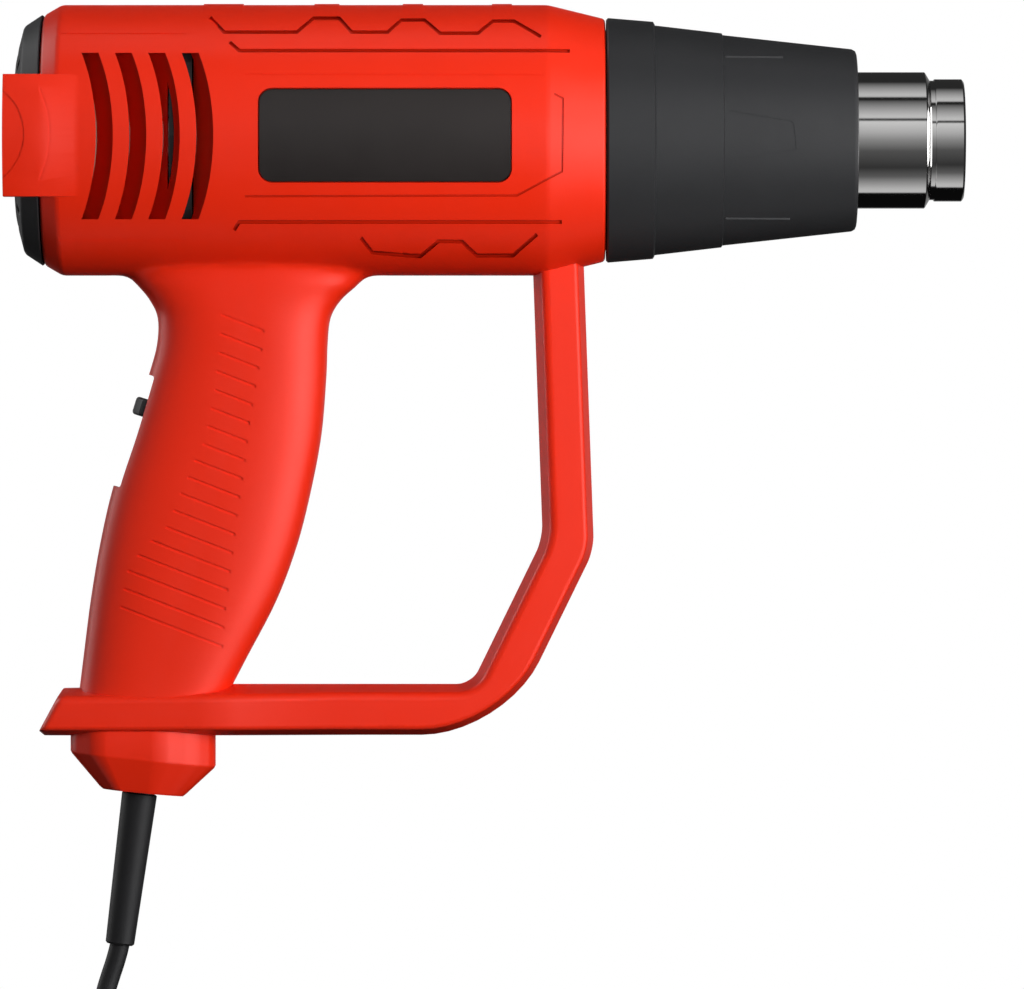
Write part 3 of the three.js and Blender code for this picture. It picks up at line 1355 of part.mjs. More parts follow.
// Wires: from the cord to the switch and the board, and on to the heater.
const cordStart = onBootAxis(-CORD_INSIDE);
const wireGap = WIRE_RADIUS + GAP;
const bodyMiddleX = bodyX + SWITCH_BODY_DEPTH / 2;
const bodyEnd = SWITCH_BODY_HALF_LENGTH + GAP;
const switchFoot = new THREE.Vector3(bodyMiddleX, 0, -bodyEnd).applyMatrix4(switchGroup.matrix);
const switchHead = new THREE.Vector3(bodyMiddleX, 0, bodyEnd).applyMatrix4(switchGroup.matrix);
const switchUp = new THREE.Vector3(Math.sin(switchTilt), 0, Math.cos(switchTilt));
const boardEndX = boardFrontX + GAP;
const baseEndX = baseRearX - GAP;
const mouthZ = GRIP_ABOVE + WALL;
const wireRunZ = axisZ - barrelScrewOffset + BOSS_RADIUS + GAP + WIRE_RADIUS;
const guideMiddleX = GUIDE_X + GUIDE_LENGTH / 2;
const gripWireLevels = WIRE_LEVELS.map((z) => {
  const { x: rear, y: front } = gripAt(z);
  return { x: (rear + front) / 2 + WIRE_FORWARD, z };
});

// From the top of the grip, between the vanes of the air guide, to the heater base.
function toHeater(y) {
  return [
    [GUIDE_X - 2 * WALL, y, mouthZ],
    [GUIDE_X - GAP, y, wireRunZ - WALL],
    [guideMiddleX, y, wireRunZ],
    [(guideMiddleX + baseEndX) / 2, y, wireRunZ],
    [baseEndX - WIRE_STUB, y, axisZ - WIRE_END_DROP],
    [baseEndX, y, axisZ - WIRE_END_DROP],
  ];
}

const fromSwitchHead = (y) => [
  switchHead.clone().setY(y).toArray(),
  switchHead.clone().addScaledVector(switchUp, WIRE_STUB).setY(y).toArray(),
];
const wires = {
  live_wire: [
    [cordStart.x, -wireGap, cordStart.z + GAP],
    [cordStart.x, -wireGap, cordStart.z + WIRE_STUB],
    switchFoot.clone().addScaledVector(switchUp, -WIRE_STUB).setY(-wireGap).toArray(),
    switchFoot.clone().setY(-wireGap).toArray(),
  ],
  neutral_wire: [
    [cordStart.x, wireGap, cordStart.z + GAP],
    [cordStart.x, wireGap, cordStart.z + WIRE_STUB],
    ...gripWireLevels.map(({ x, z }) => [x, WIRE_SPREAD, z]),
    ...toHeater(WIRE_SPREAD),
  ],
  heater_wire: [
    ...fromSwitchHead(-wireGap),
    [gripWireLevels.at(-1).x, -WIRE_SPREAD, gripWireLevels.at(-1).z],
    ...toHeater(-WIRE_SPREAD),
  ],
  board_wire: [
    ...fromSwitchHead(wireGap),
    [BRACKET_X + BRACKET_LENGTH + WALL, WIRE_SPREAD, mouthZ + WALL],
    [BRACKET_X + BRACKET_LENGTH / 2, WIRE_SPREAD, wireRunZ],
    [MOTOR_X, WIRE_SPREAD, wireRunZ],
    [boardEndX + WIRE_STUB / 2, WIRE_SPREAD, wireRunZ],
    [boardEndX, WIRE_SPREAD, wireRunZ],
  ],
  motor_wire: [
    [boardEndX, -WIRE_SPREAD, axisZ - MOTOR_WIRE_DROP],
    [(boardEndX + endCapRearX) / 2, -WIRE_SPREAD, axisZ - MOTOR_WIRE_DROP],
    [endCapRearX - GAP, -WIRE_SPREAD, axisZ - MOTOR_WIRE_DROP],
  ],
};
for (const [name, points] of Object.entries(wires)) {
  piece(name, tube(points, WIRE_RADIUS, WIRE_SIDES, 2 * points.length), "wire");
}

export default tool;
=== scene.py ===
# Frame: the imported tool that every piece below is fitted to. Its box, read before anything is added,
# is the size that the dressed tool has to keep.
from math import cos, pi, radians, sin

import bmesh
import bpy
from mathutils import Matrix, Vector
from mathutils.kdtree import KDTree


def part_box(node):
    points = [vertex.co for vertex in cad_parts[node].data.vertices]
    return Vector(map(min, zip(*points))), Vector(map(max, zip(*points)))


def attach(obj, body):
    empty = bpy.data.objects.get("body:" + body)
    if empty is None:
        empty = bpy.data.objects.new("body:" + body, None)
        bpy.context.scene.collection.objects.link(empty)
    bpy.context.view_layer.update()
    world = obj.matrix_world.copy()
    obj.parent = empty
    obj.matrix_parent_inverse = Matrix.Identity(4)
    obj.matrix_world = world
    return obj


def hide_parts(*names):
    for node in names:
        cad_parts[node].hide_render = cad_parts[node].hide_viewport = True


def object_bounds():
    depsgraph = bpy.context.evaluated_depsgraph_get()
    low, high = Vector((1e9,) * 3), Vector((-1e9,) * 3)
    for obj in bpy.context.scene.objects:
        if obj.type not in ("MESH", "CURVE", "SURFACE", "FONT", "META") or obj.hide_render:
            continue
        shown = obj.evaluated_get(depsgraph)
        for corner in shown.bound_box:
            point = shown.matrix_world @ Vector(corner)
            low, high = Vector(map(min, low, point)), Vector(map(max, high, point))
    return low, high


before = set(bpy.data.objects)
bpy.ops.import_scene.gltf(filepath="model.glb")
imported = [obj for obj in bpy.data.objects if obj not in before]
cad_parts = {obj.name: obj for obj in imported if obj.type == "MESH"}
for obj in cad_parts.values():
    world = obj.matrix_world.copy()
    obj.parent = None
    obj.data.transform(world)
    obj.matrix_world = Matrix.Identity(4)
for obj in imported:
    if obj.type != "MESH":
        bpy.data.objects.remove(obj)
cad_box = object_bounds()
scene = bpy.context.scene
mm = 0.001


# Camera: a long lens, square to the tool's right hand side and level with the middle of its height.
# One pixel of the 1024 across the picture is 0.27 mm on the tool's middle plane.
camera_distance = 2.35
sensor_width = 36.0
view_width = 1024 * 0.27 * mm
view_centre_x = 79.4 * mm
view_centre_z = -6.6 * mm
camera = bpy.data.objects.new("camera", bpy.data.cameras.new("camera"))
camera.data.sensor_width = sensor_width
camera.data.lens = sensor_width * camera_distance / view_width
camera.location = (view_centre_x, -camera_distance, view_centre_z)
camera.rotation_euler = (radians(90), 0, 0)
scene.collection.objects.link(camera)
scene.camera = camera
scene.view_settings.view_transform = "Standard"


# Mains cord: two cores in a round black rubber sheath. It hangs from the grip's foot, and its spare
# length is folded into a hank below, as for storage.
class Signal:
    """An output of a node. Arithmetic with it adds Math nodes to its tree."""

    def __init__(self, socket):
        self.socket = socket

    def worked(self, operation, *values):
        """Adds one Math node for an operation on values."""
        made = self.socket.id_data.nodes.new("ShaderNodeMath")
        made.operation = operation
        for pin, value in zip(made.inputs, values):
            join(value, pin)
        return Signal(made.outputs[0])

    def __add__(self, other):
        return self.worked("ADD", self, other)

    def __sub__(self, other):
        return self.worked("SUBTRACT", self, other)

    def __rsub__(self, other):
        return self.worked("SUBTRACT", other, self)

    def __mul__(self, other):
        return self.worked("MULTIPLY", self, other)

    def __gt__(self, other):
        return self.worked("GREATER_THAN", self, other)

    __radd__ = __add__
    __rmul__ = __mul__


def join(value, pin):
    """Links a signal to a pin, or sets the pin to a number, colour or vector."""
    if isinstance(value, Signal):
        pin.id_data.links.new(value.socket, pin)
    else:
        pin.default_value = value


class Finish:
    """The nodes of a material, or of the world, about its one shader. All come from one method."""

    def __init__(self, owner, shader="Principled BSDF"):
        owner.use_nodes = True
        self.owner = owner
        self.tree = owner.node_tree
        self.shader = self.tree.nodes[shader]

    def node(self, kind, settings={}, sockets={}, output=0):
        """Adds a node of a kind, sets it up, joins its sockets and gives one of its outputs."""
        made = self.tree.nodes.new("ShaderNode" + kind)
        for setting, value in settings.items():
            if setting == "stops":
                ramp = made.color_ramp.elements
                while len(ramp) < len(value):
                    ramp.new(1)
                for stop, (position, colour) in zip(ramp, value):
                    stop.position = position
                    stop.color = colour
            else:
                setattr(made, setting, value)
        for pin, value in sockets.items():
            join(value, made.inputs[pin])
        return Signal(made.outputs[output])

    @property
    def place(self):
        """The point on the surface, in the tool's own frame."""
        return self.node("TexCoord", output="Object")

    def axes(self):
        """The place along X, Y and Z."""
        return [self.node("SeparateXYZ", sockets={"Vector": self.place}, output=axis) for axis in "XYZ"]

    def noise(self, size, detail=2.0, stretch=(1, 1, 1)):
        """Soft noise whose features are about the given size."""
        place = self.node("Mapping", sockets={"Vector": self.place, "Scale": stretch})
        return self.node("TexNoise", sockets={"Vector": place, "Scale": 1 / size, "Detail": detail})

    def blend(self, share, first, second):
        """One colour laid over another."""
        sockets = {0: share, 6: first, 7: second}
        return self.node("Mix", {"data_type": "RGBA"}, sockets, output=2)

    def bump(self, height, depth):
        """A surface direction, from a height that goes from 0 to 1."""
        return self.node("Bump", sockets={"Height": height, "Distance": depth})

    def set(self, **sockets):
        """Sets or joins sockets of the shader, named with underscores for spaces."""
        for name, value in sockets.items():
            join(value, self.shader.inputs[name.replace("_", " ")])


def tinted(colour, share):
    """A colour made darker or paler, as a socket takes it."""
    return (*(min(channel * share, 1) for channel in colour), 1)


flow_mark_size = 22 * mm
smear_size = 7 * mm
# How dark painted shade makes a colour, where a material asks for it.
painted_shade_tint = 0.6


def moulded(name, colour, roughness, grain_size, grain_depth, mottle=0.06, ior=1.36, painted_shade=None):
    """Moulded plastic or rubber: fine grain from the mould, flow marks, smears, and painted shade where
    asked.
    """
    finish = Finish(bpy.data.materials.new(name))
    flow = finish.noise(flow_mark_size, 3)
    smears = finish.noise(smear_size, 4, (1, 1, 0.5))
    grain = finish.noise(grain_size, 2)
    base = finish.blend(flow * 0.7 + grain * 0.3, tinted(colour, 1 - mottle), tinted(colour, 1 + mottle))
    # Painted shade: the base colour is darkened where the mask falls.
    if painted_shade:
        base = finish.blend(painted_shade(finish), base, tinted(colour, painted_shade_tint))
    finish.set(
        Base_Color=base,
        Roughness=roughness + (smears - 0.5) * 0.16 + (grain - 0.5) * 0.1,
        Normal=finish.bump(grain + flow * 2, grain_depth),
        IOR=ior,
    )
    return finish.owner


def smoothed(share):
    """A share from 0 to 1, eased at both ends."""
    return share * share * (3 - 2 * share)


cord_rubber = moulded("cord_rubber", (0.01, 0.01, 0.0108), 0.52, 0.5 * mm, 0.02 * mm, 0.2, 1.3)
cord_radius = 2.7 * mm
boot_root = Vector((-21.3, 0, -88.4)) * mm
boot_tilt = radians(7.5)
boot_down = Vector((-sin(boot_tilt), 0, -cos(boot_tilt)))

hank_x = -1
hank_z = -222
hank_run = 90
hank_half_turns = 10
hank_fold_radius = 16.4
hank_fold_step = 3.3
hank_waist = 12
hank_layer = 6.1
hank_steps = 8
hank_outer = hank_fold_radius + hank_fold_step * hank_half_turns / 2


def fold_radius(half_turn):
    """Folds get tighter to the middle of the hank, and wider again on the way out."""
    return hank_outer - hank_fold_step * min(half_turn, hank_half_turns - half_turn)


def hank_route():
    """Runs up and down that widen from the outside to the middle of the hank and back."""
    route = []
    for half_turn in range(hank_half_turns):
        side = 1 if half_turn % 2 else -1
        radius = fold_radius(half_turn)
        for step in range(hank_steps):
            share = step / hank_steps
            lift = smoothed(min(max(half_turn + share - hank_half_turns / 2, 0), 1)) - 0.5
            x = hank_x + side * (radius - hank_waist * sin(pi * share) ** 2)
            route.append((x, hank_layer * lift, hank_z + side * hank_run * (share - 0.5)))
        last = half_turn == hank_half_turns - 1
        layer = -0.5 if half_turn < hank_half_turns / 2 else 0.5
        for step in range(1 if last else hank_steps):
            share = step / hank_steps
            bend = radius + (fold_radius(half_turn + 1) - radius) * smoothed(share)
            x = hank_x + side * bend * cos(pi * share)
            z = hank_z + side * (hank_run / 2 + bend * sin(pi * share))
            route.append((x, hank_layer * layer, z))
    return route


cord_route = [
    *(tuple((boot_root + boot_down * reach * mm) / mm) for reach in (-27, -13.5, 0, 20, 40)),
    (-27.7, 0, -132.6),
    (-29, 0, -136.6),
    (-30.3, -0.3, -141),
    (-31.7, -1.1, -148),
    (-33, -2.1, -157),
    (-33.8, -2.9, -167),
    *hank_route()[1:],
    (28.6, 3.05, -171.3),
    (28.6, 3.45, -167.6),
    (27, 6.4, -161),
    (21.5, 10, -154.5),
    (11, 13.6, -150.5),
    (0, 16.8, -152.5),
    (-8, 18.8, -160),
    (-11, 17.75, -170),
    (-11, 17.75, -182),
    (-11, 17.75, -197.7),
]
cord_curve = bpy.data.curves.new("mains_cord", "CURVE")
cord_curve.dimensions = "3D"
cord_curve.bevel_depth = cord_radius
cord_curve.bevel_resolution = 5
cord_curve.resolution_u = 5
cord_curve.use_fill_caps = True
cord_spline = cord_curve.splines.new("BEZIER")
cord_spline.bezier_points.add(len(cord_route) - 1)
for knot, place in zip(cord_spline.bezier_points, cord_route):
    knot.co = Vector(place) * mm
    knot.handle_left_type = knot.handle_right_type = "AUTO"
cord_curve.materials.append(cord_rubber)
mains_cord = bpy.data.objects.new("mains_cord", cord_curve)
scene.collection.objects.link(mains_cord)
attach(mains_cord, "tool")
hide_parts("power_cord_lead", "power_cord_hank", "power_cord_tail")


# Plug: a two blade rubber plug moulded on the cord's end, with a ribbed neck that takes the strain
# and a waist for the fingers. Its brass blades are the CAD nodes.
def ring(form, z, rear, front, half_width, squareness, tilt=0.0, sides=96):
    """Adds one level ring, squarer than an ellipse, and gives its edges."""
    verts = bmesh.ops.create_circle(form, segments=sides, radius=1)["verts"]
    for vert in verts:
        reach = (abs(vert.co.x) ** squareness + abs(vert.co.y) ** squareness) ** (-1 / squareness)
        x = (front - rear) / 2 * reach * vert.co.x
        vert.co = ((front + rear) / 2 + x, half_width * reach * vert.co.y, z - x * tilt)
    return list({edge for vert in verts for edge in vert.link_edges})


def skin(form, loops):
    """Bridges rings in order into a closed body."""
    for near, far in zip(loops, loops[1:]):
        bmesh.ops.bridge_loops(form, edges=near + far)
    bmesh.ops.holes_fill(form, edges=loops[0] + loops[-1], sides=0)
    bmesh.ops.recalc_face_normals(form, faces=form.faces)


def soften(form, width, segments=3, sharper_than=radians(28)):
    """Rounds every edge that is sharper than an angle."""
    edges = [edge for edge in form.edges if edge.calc_face_angle(0) > sharper_than]
    bmesh.ops.bevel(
        form,
        geom=edges,
        offset=width,
        segments=segments,
        profile=0.5,
        affect="EDGES",
        material=-1,
        clamp_overlap=True,
    )


def make_piece(name, form, finish, slot, body, *nodes, crease=radians(32)):
    """Turns a form into a piece of the tool that stands for CAD nodes."""
    for face in form.faces:
        face.smooth = True
    for edge in form.edges:
        edge.smooth = edge.calc_face_angle(0) < crease
    mesh = bpy.data.meshes.new(name)
    form.to_mesh(mesh)
    form.free()
    mesh.materials.append(finish)
    made = bpy.data.objects.new(name, mesh)
    made.modifiers.new("shading", "WEIGHTED_NORMAL").keep_sharp = True
    scene.collection.objects.link(made)
    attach(made, body)
    if nodes:
        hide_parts(*nodes)
    return made


plug_x = -11 * mm
plug_y = 17.75 * mm
plug_rear_z = -198 * mm
plug_neck_ribs = 3
plug_neck_pitch = 2.8
plug_neck_groove = [(0, 0), (0.5, 0.8), (1.3, 0.8), (1.8, 0)]
plug_neck = []
for rib in range(plug_neck_ribs):
    rib_start = 2 + plug_neck_pitch * rib
    rib_radius = 5.1 + 0.25 * rib
    for reach, dip in plug_neck_groove:
        plug_neck.append((rib_start + reach, rib_radius - dip, rib_radius - dip, 2))
plug_levels = [
    (0, 4.4, 4.4, 2),
    (0.5, 5, 5, 2),
    *plug_neck,
    (10.8, 6, 6, 2),
    (13.5, 8.6, 7.2, 2.4),
    (17, 11.9, 8.9, 2.8),
    (20.4, 13, 9.5, 3),
    (26, 12.2, 8.9, 3),
    (32, 12.7, 9.3, 3),
    (34.6, 12.9, 9.4, 3),
    (35.7, 12.4, 8.9, 3),
    (36, 11.6, 8.1, 3),
]
plug_form = bmesh.new()
skin(
    plug_form,
    [
        ring(plug_form, plug_rear_z - down * mm, -half * mm, half * mm, thick * mm, squareness, sides=64)
        for down, half, thick, squareness in plug_levels
    ],
)
bmesh.ops.translate(plug_form, verts=plug_form.verts, vec=(plug_x, plug_y, 0))
plug = make_piece("plug", plug_form, cord_rubber, "cord_rubber", "tool", "plug_body")


# Cord tie: a flat band round the hank's waist, moulded in rubber. Its ends button together over a
# raised stud.
tie_half_x = 25.3 * mm
tie_half_y = 6.35 * mm
tie_height = 9 * mm
tie_thickness = 1.6 * mm
tie_corner = 6 * mm
tie_edge = 0.4 * mm
stud_x = 15 * mm
stud_radius = 2.6 * mm
stud_top_radius = 2.2 * mm
stud_height = 0.5 * mm
stud_sink = 0.05 * mm


def flat_face(form, corners, rounded=(), rounding=0.0, segments=8):
    """Adds one face in the XZ plane through its corners, some rounded off, and gives the corners."""
    verts = [form.verts.new((x, 0, z)) for x, z in corners]
    form.faces.new(verts)
    if rounded:
        bmesh.ops.bevel(
            form,
            geom=[verts[i] for i in rounded],
            offset=rounding,
            segments=segments,
            profile=0.5,
            affect="VERTICES",
            material=-1,
        )
    return verts


def thicken(form, low, high):
    """Draws the faces of a form that is flat in the XZ plane out into a plate along Y."""
    bmesh.ops.translate(form, verts=form.verts, vec=(0, low, 0))
    drawn = bmesh.ops.extrude_face_region(form, geom=form.faces[:])["geom"]
    moved = [part for part in drawn if isinstance(part, bmesh.types.BMVert)]
    bmesh.ops.translate(form, verts=moved, vec=(0, high - low, 0))
    bmesh.ops.recalc_face_normals(form, faces=form.faces)


tie_form = bmesh.new()
tie_x = tie_half_x + tie_thickness
tie_y = tie_half_y + tie_thickness
flat_face(
    tie_form,
    [(-tie_x, -tie_y), (tie_x, -tie_y), (tie_x, tie_y), (-tie_x, tie_y)],
    range(4),
    tie_corner,
)
bmesh.ops.inset_region(tie_form, faces=tie_form.faces[:], thickness=tie_thickness, use_even_offset=True)
middle = min(tie_form.faces, key=lambda face: face.calc_center_median().length)
bmesh.ops.delete(tie_form, geom=[middle], context="FACES_ONLY")
thicken(tie_form, -tie_height / 2, tie_height / 2)
soften(tie_form, tie_edge, 2)
stud = bmesh.ops.create_cone(
    tie_form,
    cap_ends=True,
    segments=24,
    radius1=stud_radius,
    radius2=stud_top_radius,
    depth=stud_height,
)["verts"]
bmesh.ops.translate(tie_form, verts=stud, vec=(stud_x, 0, stud_sink - tie_y))
tie_form.transform(Matrix.Translation((hank_x * mm, 0, hank_z * mm)) @ Matrix.Rotation(radians(90), 4, "X"))
make_piece("cord_tie_band", tie_form, cord_rubber, "cord_rubber", "tool", "cord_tie")


# Cord boot: a tapered rubber sleeve that keeps the cord from kinking. Its neck is caught in the
# housing's foot when the halves close.
boot_length = 40 * mm
boot_root_radius = 4.75 * mm
boot_tip_radius = 3.9 * mm
boot_neck_radius = 4.1 * mm
boot_bore_radius = 2.9 * mm
boot_tip_round = 0.5 * mm
boot_collar_x = -1.2 * mm
boot_collar_round = 0.3 * mm
boot_neck_x = -4.2 * mm


def spun(profile, steps=128):
    """Turns a line of (x, radius) points about the X axis into a closed skin."""
    form = bmesh.new()
    chain = [form.verts.new((x, 0, radius)) for x, radius in profile]
    edges = [form.edges.new(pair) for pair in zip(chain, chain[1:])]
    bmesh.ops.spin(
        form,
        geom=chain + edges,
        cent=(0, 0, 0),
        axis=(1, 0, 0),
        angle=2 * pi,
        steps=steps,
        use_merge=True,
    )
    bmesh.ops.remove_doubles(form, verts=form.verts, dist=1e-7)
    bmesh.ops.recalc_face_normals(form, faces=form.faces)
    return form


def closed(profile):
    """A profile that comes back to its start, for a hollow turning."""
    return [*profile, profile[0]]


boot_form = spun(
    closed([
        (boot_length, boot_bore_radius),
        (boot_length, boot_tip_radius - boot_tip_round),
        (boot_length - boot_tip_round, boot_tip_radius),
        (boot_collar_x + boot_collar_round, boot_root_radius),
        (boot_collar_x, boot_root_radius - boot_collar_round),
        (boot_collar_x, boot_neck_radius),
        (boot_neck_x, boot_neck_radius),
        (boot_neck_x, boot_bore_radius),
    ]),
    64,
)
boot_turn = Vector((1, 0, 0)).rotation_difference(boot_down)
boot_place = Matrix.Translation(boot_root) @ boot_turn.to_matrix().to_4x4()
boot_form.transform(boot_place)
make_piece("boot", boot_form, cord_rubber, "cord_rubber", "tool", "cord_boot")


# Heater: a coil of resistance wire wound on crossed mica plates, in a rolled mica sleeve, on a ceramic
# base that three screws and the outlet tube's flange hold in the nose. A brass-bodied fuse guards it.
stain_size = 14 * mm


def metal(name, colour, roughness, mark_size, mark_depth, stretch=(1, 1, 1), stain=0.12):
    """Bare or plated metal: drawing marks along one direction and faint stains."""
    finish = Finish(bpy.data.materials.new(name))
    marks = finish.noise(mark_size, 3, stretch)
    stains = finish.noise(stain_size, 4)
    finish.set(
        Base_Color=finish.blend(stains, tinted(colour, 1 - stain), tinted(colour, 1 + stain / 2)),
        Metallic=1,
        Roughness=roughness + (marks - 0.5) * (0.6 * roughness) + (stains - 0.5) * (0.5 * roughness),
        Normal=finish.bump(marks, mark_depth),
    )
    return finish.owner


def refinish(material, *names):
    """Gives CAD nodes that are kept a worked-up material."""
    for name in names:
        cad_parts[name].material_slots[0].material = material


mica = moulded("mica", (0.42, 0.33, 0.17), 0.42, 1.2 * mm, 0.02 * mm, 0.25)
ceramic = moulded("ceramic", (0.74, 0.7, 0.61), 0.6, 0.8 * mm, 0.02 * mm, 0.05)
resistance_alloy = metal("resistance_alloy", (0.16, 0.14, 0.13), 0.42, 0.6 * mm, 0.01 * mm, stain=0.4)
plated_steel = metal("plated_steel", (0.58, 0.59, 0.6), 0.3, 0.5 * mm, 0.006 * mm, (1, 0.1, 1))
brass = metal("brass", (0.62, 0.4, 0.13), 0.26, 0.5 * mm, 0.006 * mm, (1, 1, 0.1))
refinish(mica, "mica_sleeve", "heater_core")
refinish(ceramic, "heater_base")
refinish(plated_steel, "heater_screw_1", "heater_screw_2", "heater_screw_3")
refinish(brass, "thermal_fuse", "plug_blade_1", "plug_blade_2")

axis_z = 89 * mm
coil_wire_radius = 0.8 * mm
coil_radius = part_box("heater_coil")[1].y - coil_wire_radius
coil_turns = 11
coil_steps = 24
coil_start_x = 112.6 * mm
coil_end_x = 184.1 * mm
coil_curve = bpy.data.curves.new("heater_winding", "CURVE")
coil_curve.dimensions = "3D"
coil_curve.bevel_depth = coil_wire_radius
coil_curve.bevel_resolution = 3
coil_curve.use_fill_caps = True
coil_spline = coil_curve.splines.new("POLY")
coil_spline.points.add(coil_turns * coil_steps)
for step, knot in enumerate(coil_spline.points):
    angle = 2 * pi * step / coil_steps
    x = coil_start_x + (coil_end_x - coil_start_x) * step / (coil_turns * coil_steps)
    knot.co = (x, coil_radius * cos(angle), axis_z + coil_radius * sin(angle), 1)
coil_curve.materials.append(resistance_alloy)
heater_winding = bpy.data.objects.new("heater_winding", coil_curve)
scene.collection.objects.link(heater_winding)
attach(heater_winding, "tool")
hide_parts("heater_coil")


# Motor and fan: a small motor in a plated can, clipped in a moulded bracket behind the fan, and the
# vaned guide that straightens the air on its way to the heater.
black_plastic = moulded("black_plastic", (0.0165, 0.0168, 0.018), 0.52, 0.5 * mm, 0.014 * mm, 0.12, 1.31)
nylon = moulded("nylon", (0.66, 0.63, 0.54), 0.45, 0.6 * mm, 0.006 * mm)
ferrite = moulded("ferrite", (0.035, 0.034, 0.034), 0.6, 0.4 * mm, 0.012 * mm, 0.3)
shaft_steel = metal("shaft_steel", (0.68, 0.68, 0.68), 0.2, 0.4 * mm, 0.004 * mm, (1, 0.1, 0.1))
refinish(plated_steel, "motor_can")
refinish(nylon, "motor_end_cap")
refinish(ferrite, "motor_magnet_1", "motor_magnet_2")
refinish(resistance_alloy, "motor_armature")
refinish(shaft_steel, "motor_shaft")
refinish(black_plastic, "fan_impeller", "motor_bracket", "air_guide")


# Electrics: a round control board on the rear cap's spigot, with a triac, a film capacitor and the
# dial's potentiometer. Sheathed wires run from the cord to the switch, board, motor and heater.
circuit_board = moulded("circuit_board", (0.02, 0.1, 0.04), 0.34, 1.4 * mm, 0.02 * mm, 0.3)
wire_insulation = moulded("wire_insulation", (0.17, 0.04, 0.022), 0.4, 0.6 * mm, 0.006 * mm, 0.1)
refinish(circuit_board, "control_board")
refinish(ferrite, "board_triac", "switch_body")
refinish(plated_steel, "potentiometer_body")
refinish(nylon, "potentiometer_shaft", "cord_clamp")
refinish(wire_insulation, "board_capacitor")
refinish(wire_insulation, "live_wire", "neutral_wire", "heater_wire", "board_wire", "motor_wire")


# Switch: a black plate let into the back of the grip, and a bowed slider on it that the thumb moves
# between off and two heats. The marks 0, 1 and 2 stand proud of the plate in a glossier black, which
# is darker than the plate's as painted shade.
switch_place = Vector((-23.325, 0, 10.4)) * mm
switch_tilt = radians(17.29)
switch_frame = Matrix.Translation(switch_place) @ Matrix.Rotation(switch_tilt, 4, "Y")
slot_low = -15.35 * mm
slot_high = 16.05 * mm
slot_half_width = 8.5 * mm
slot_corner = 0.9 * mm
plate_depth = 2.6 * mm
plate_thickness = 2.2 * mm
slider_low = 4.7 * mm
slider_high = 9.6 * mm
slider_proud = 1.4 * mm
slider_half_width = 7.9 * mm
gap = 0.3 * mm


def combined(operation, form, *tools):
    """Joins, cuts or crops a closed form by others, one after another, and uses them all up."""
    helpers = []
    for part in (form, *tools):
        mesh = bpy.data.meshes.new("form")
        part.to_mesh(mesh)
        part.free()
        helpers.append(bpy.data.objects.new("form", mesh))
        scene.collection.objects.link(helpers[-1])
    for helper in helpers[1:]:
        step = helpers[0].modifiers.new("step", "BOOLEAN")
        step.operation = operation
        step.solver = "MANIFOLD"
        step.object = helper
    ready = helpers[0].evaluated_get(bpy.context.evaluated_depsgraph_get())
    result = bmesh.new()
    result.from_mesh(ready.to_mesh())
    ready.to_mesh_clear()
    for helper in helpers:
        bpy.data.meshes.remove(helper.data)
    return result


def together(forms):
    """Forms that don't touch, as one, so that they can be joined or cut in one go."""
    gathered = bmesh.new()
    for form in forms:
        mesh = bpy.data.meshes.new("form")
        form.to_mesh(mesh)
        form.free()
        gathered.from_mesh(mesh)
        bpy.data.meshes.remove(mesh)
    return gathered


def block(low, high):
    """A box between two corners."""
    form = bmesh.new()
    bmesh.ops.create_cube(form, size=1)
    size = Vector(high) - Vector(low)
    form.transform(Matrix.Translation((Vector(high) + Vector(low)) / 2) @ Matrix.Diagonal((*size, 1)))
    return form


def rounded_plate(x0, z0, x1, z1, rounding, low, high):
    """A plate with rounded corners in the XZ plane, between two depths along Y."""
    form = bmesh.new()
    flat_face(form, [(x0, z0), (x1, z0), (x1, z1), (x0, z1)], range(4), rounding)
    thicken(form, low, high)
    return form


def outline(form, corners, y, rounds={}):
    """Adds a flat outline at a depth along Y, with some corners rounded off, and gives its edges."""
    known = set(form.edges)
    turns = flat_face(form, corners)
    for corner, rounding in rounds.items():
        bmesh.ops.bevel(
            form,
            geom=[turns[corner]],
            offset=rounding,
            segments=10,
            profile=0.5,
            affect="VERTICES",
            material=-1,
        )
    loop = [edge for edge in form.edges if edge not in known]
    bmesh.ops.delete(form, geom=form.faces[:], context="FACES_ONLY")
    bmesh.ops.translate(form, verts=list({vert for edge in loop for vert in edge.verts}), vec=(0, y, 0))
    return loop


upended = Matrix.Rotation(radians(-90), 4, "X")


def bowed_bar(crown, drop, half_width, back, sections):
    """A bar along the slot whose front bows out to its crown, through sections of (height, inset)."""
    form = bmesh.new()
    loops = []
    shares = [i / 8 - 1 for i in range(17)]
    for height, inset in sections:
        bow = [(crown + inset + drop * share ** 2, (half_width - inset) * share) for share in shares]
        loops.append(outline(form, [*bow, (back, half_width - inset), (back, inset - half_width)], -height))
    skin(form, loops)
    form.transform(upended)
    return form


plate_half_width = slot_half_width - gap
plate_bow = 2 * mm
plate_back = plate_depth + plate_thickness
slit_low = -11.8 * mm
slit_high = 10.4 * mm
slit_half_width = 1.05 * mm
leg_middle_y = 6.25 * mm
leg_half_width = 0.75 * mm
across_grip = Matrix.Rotation(radians(90), 4, "Z")
plate_outline = rounded_plate(
    -plate_half_width, slot_low + gap, plate_half_width, slot_high - gap, slot_corner, -9 * mm, 9 * mm
)
plate_outline.transform(across_grip)
plate_ends = [(slot_low, 0), (slot_high, 0)]
plate_form = bowed_bar(plate_depth, plate_bow, slot_half_width, plate_back, plate_ends)
plate_form = combined("INTERSECT", plate_form, plate_outline)
plate_slits = [
    block(
        (plate_depth - 2 * mm, side * leg_middle_y - slit_half_width, slit_low),
        (plate_back + 1 * mm, side * leg_middle_y + slit_half_width, slit_high),
    )
    for side in (-1, 1)
]
plate_form = combined("DIFFERENCE", plate_form, together(plate_slits))
plate_form.transform(switch_frame)
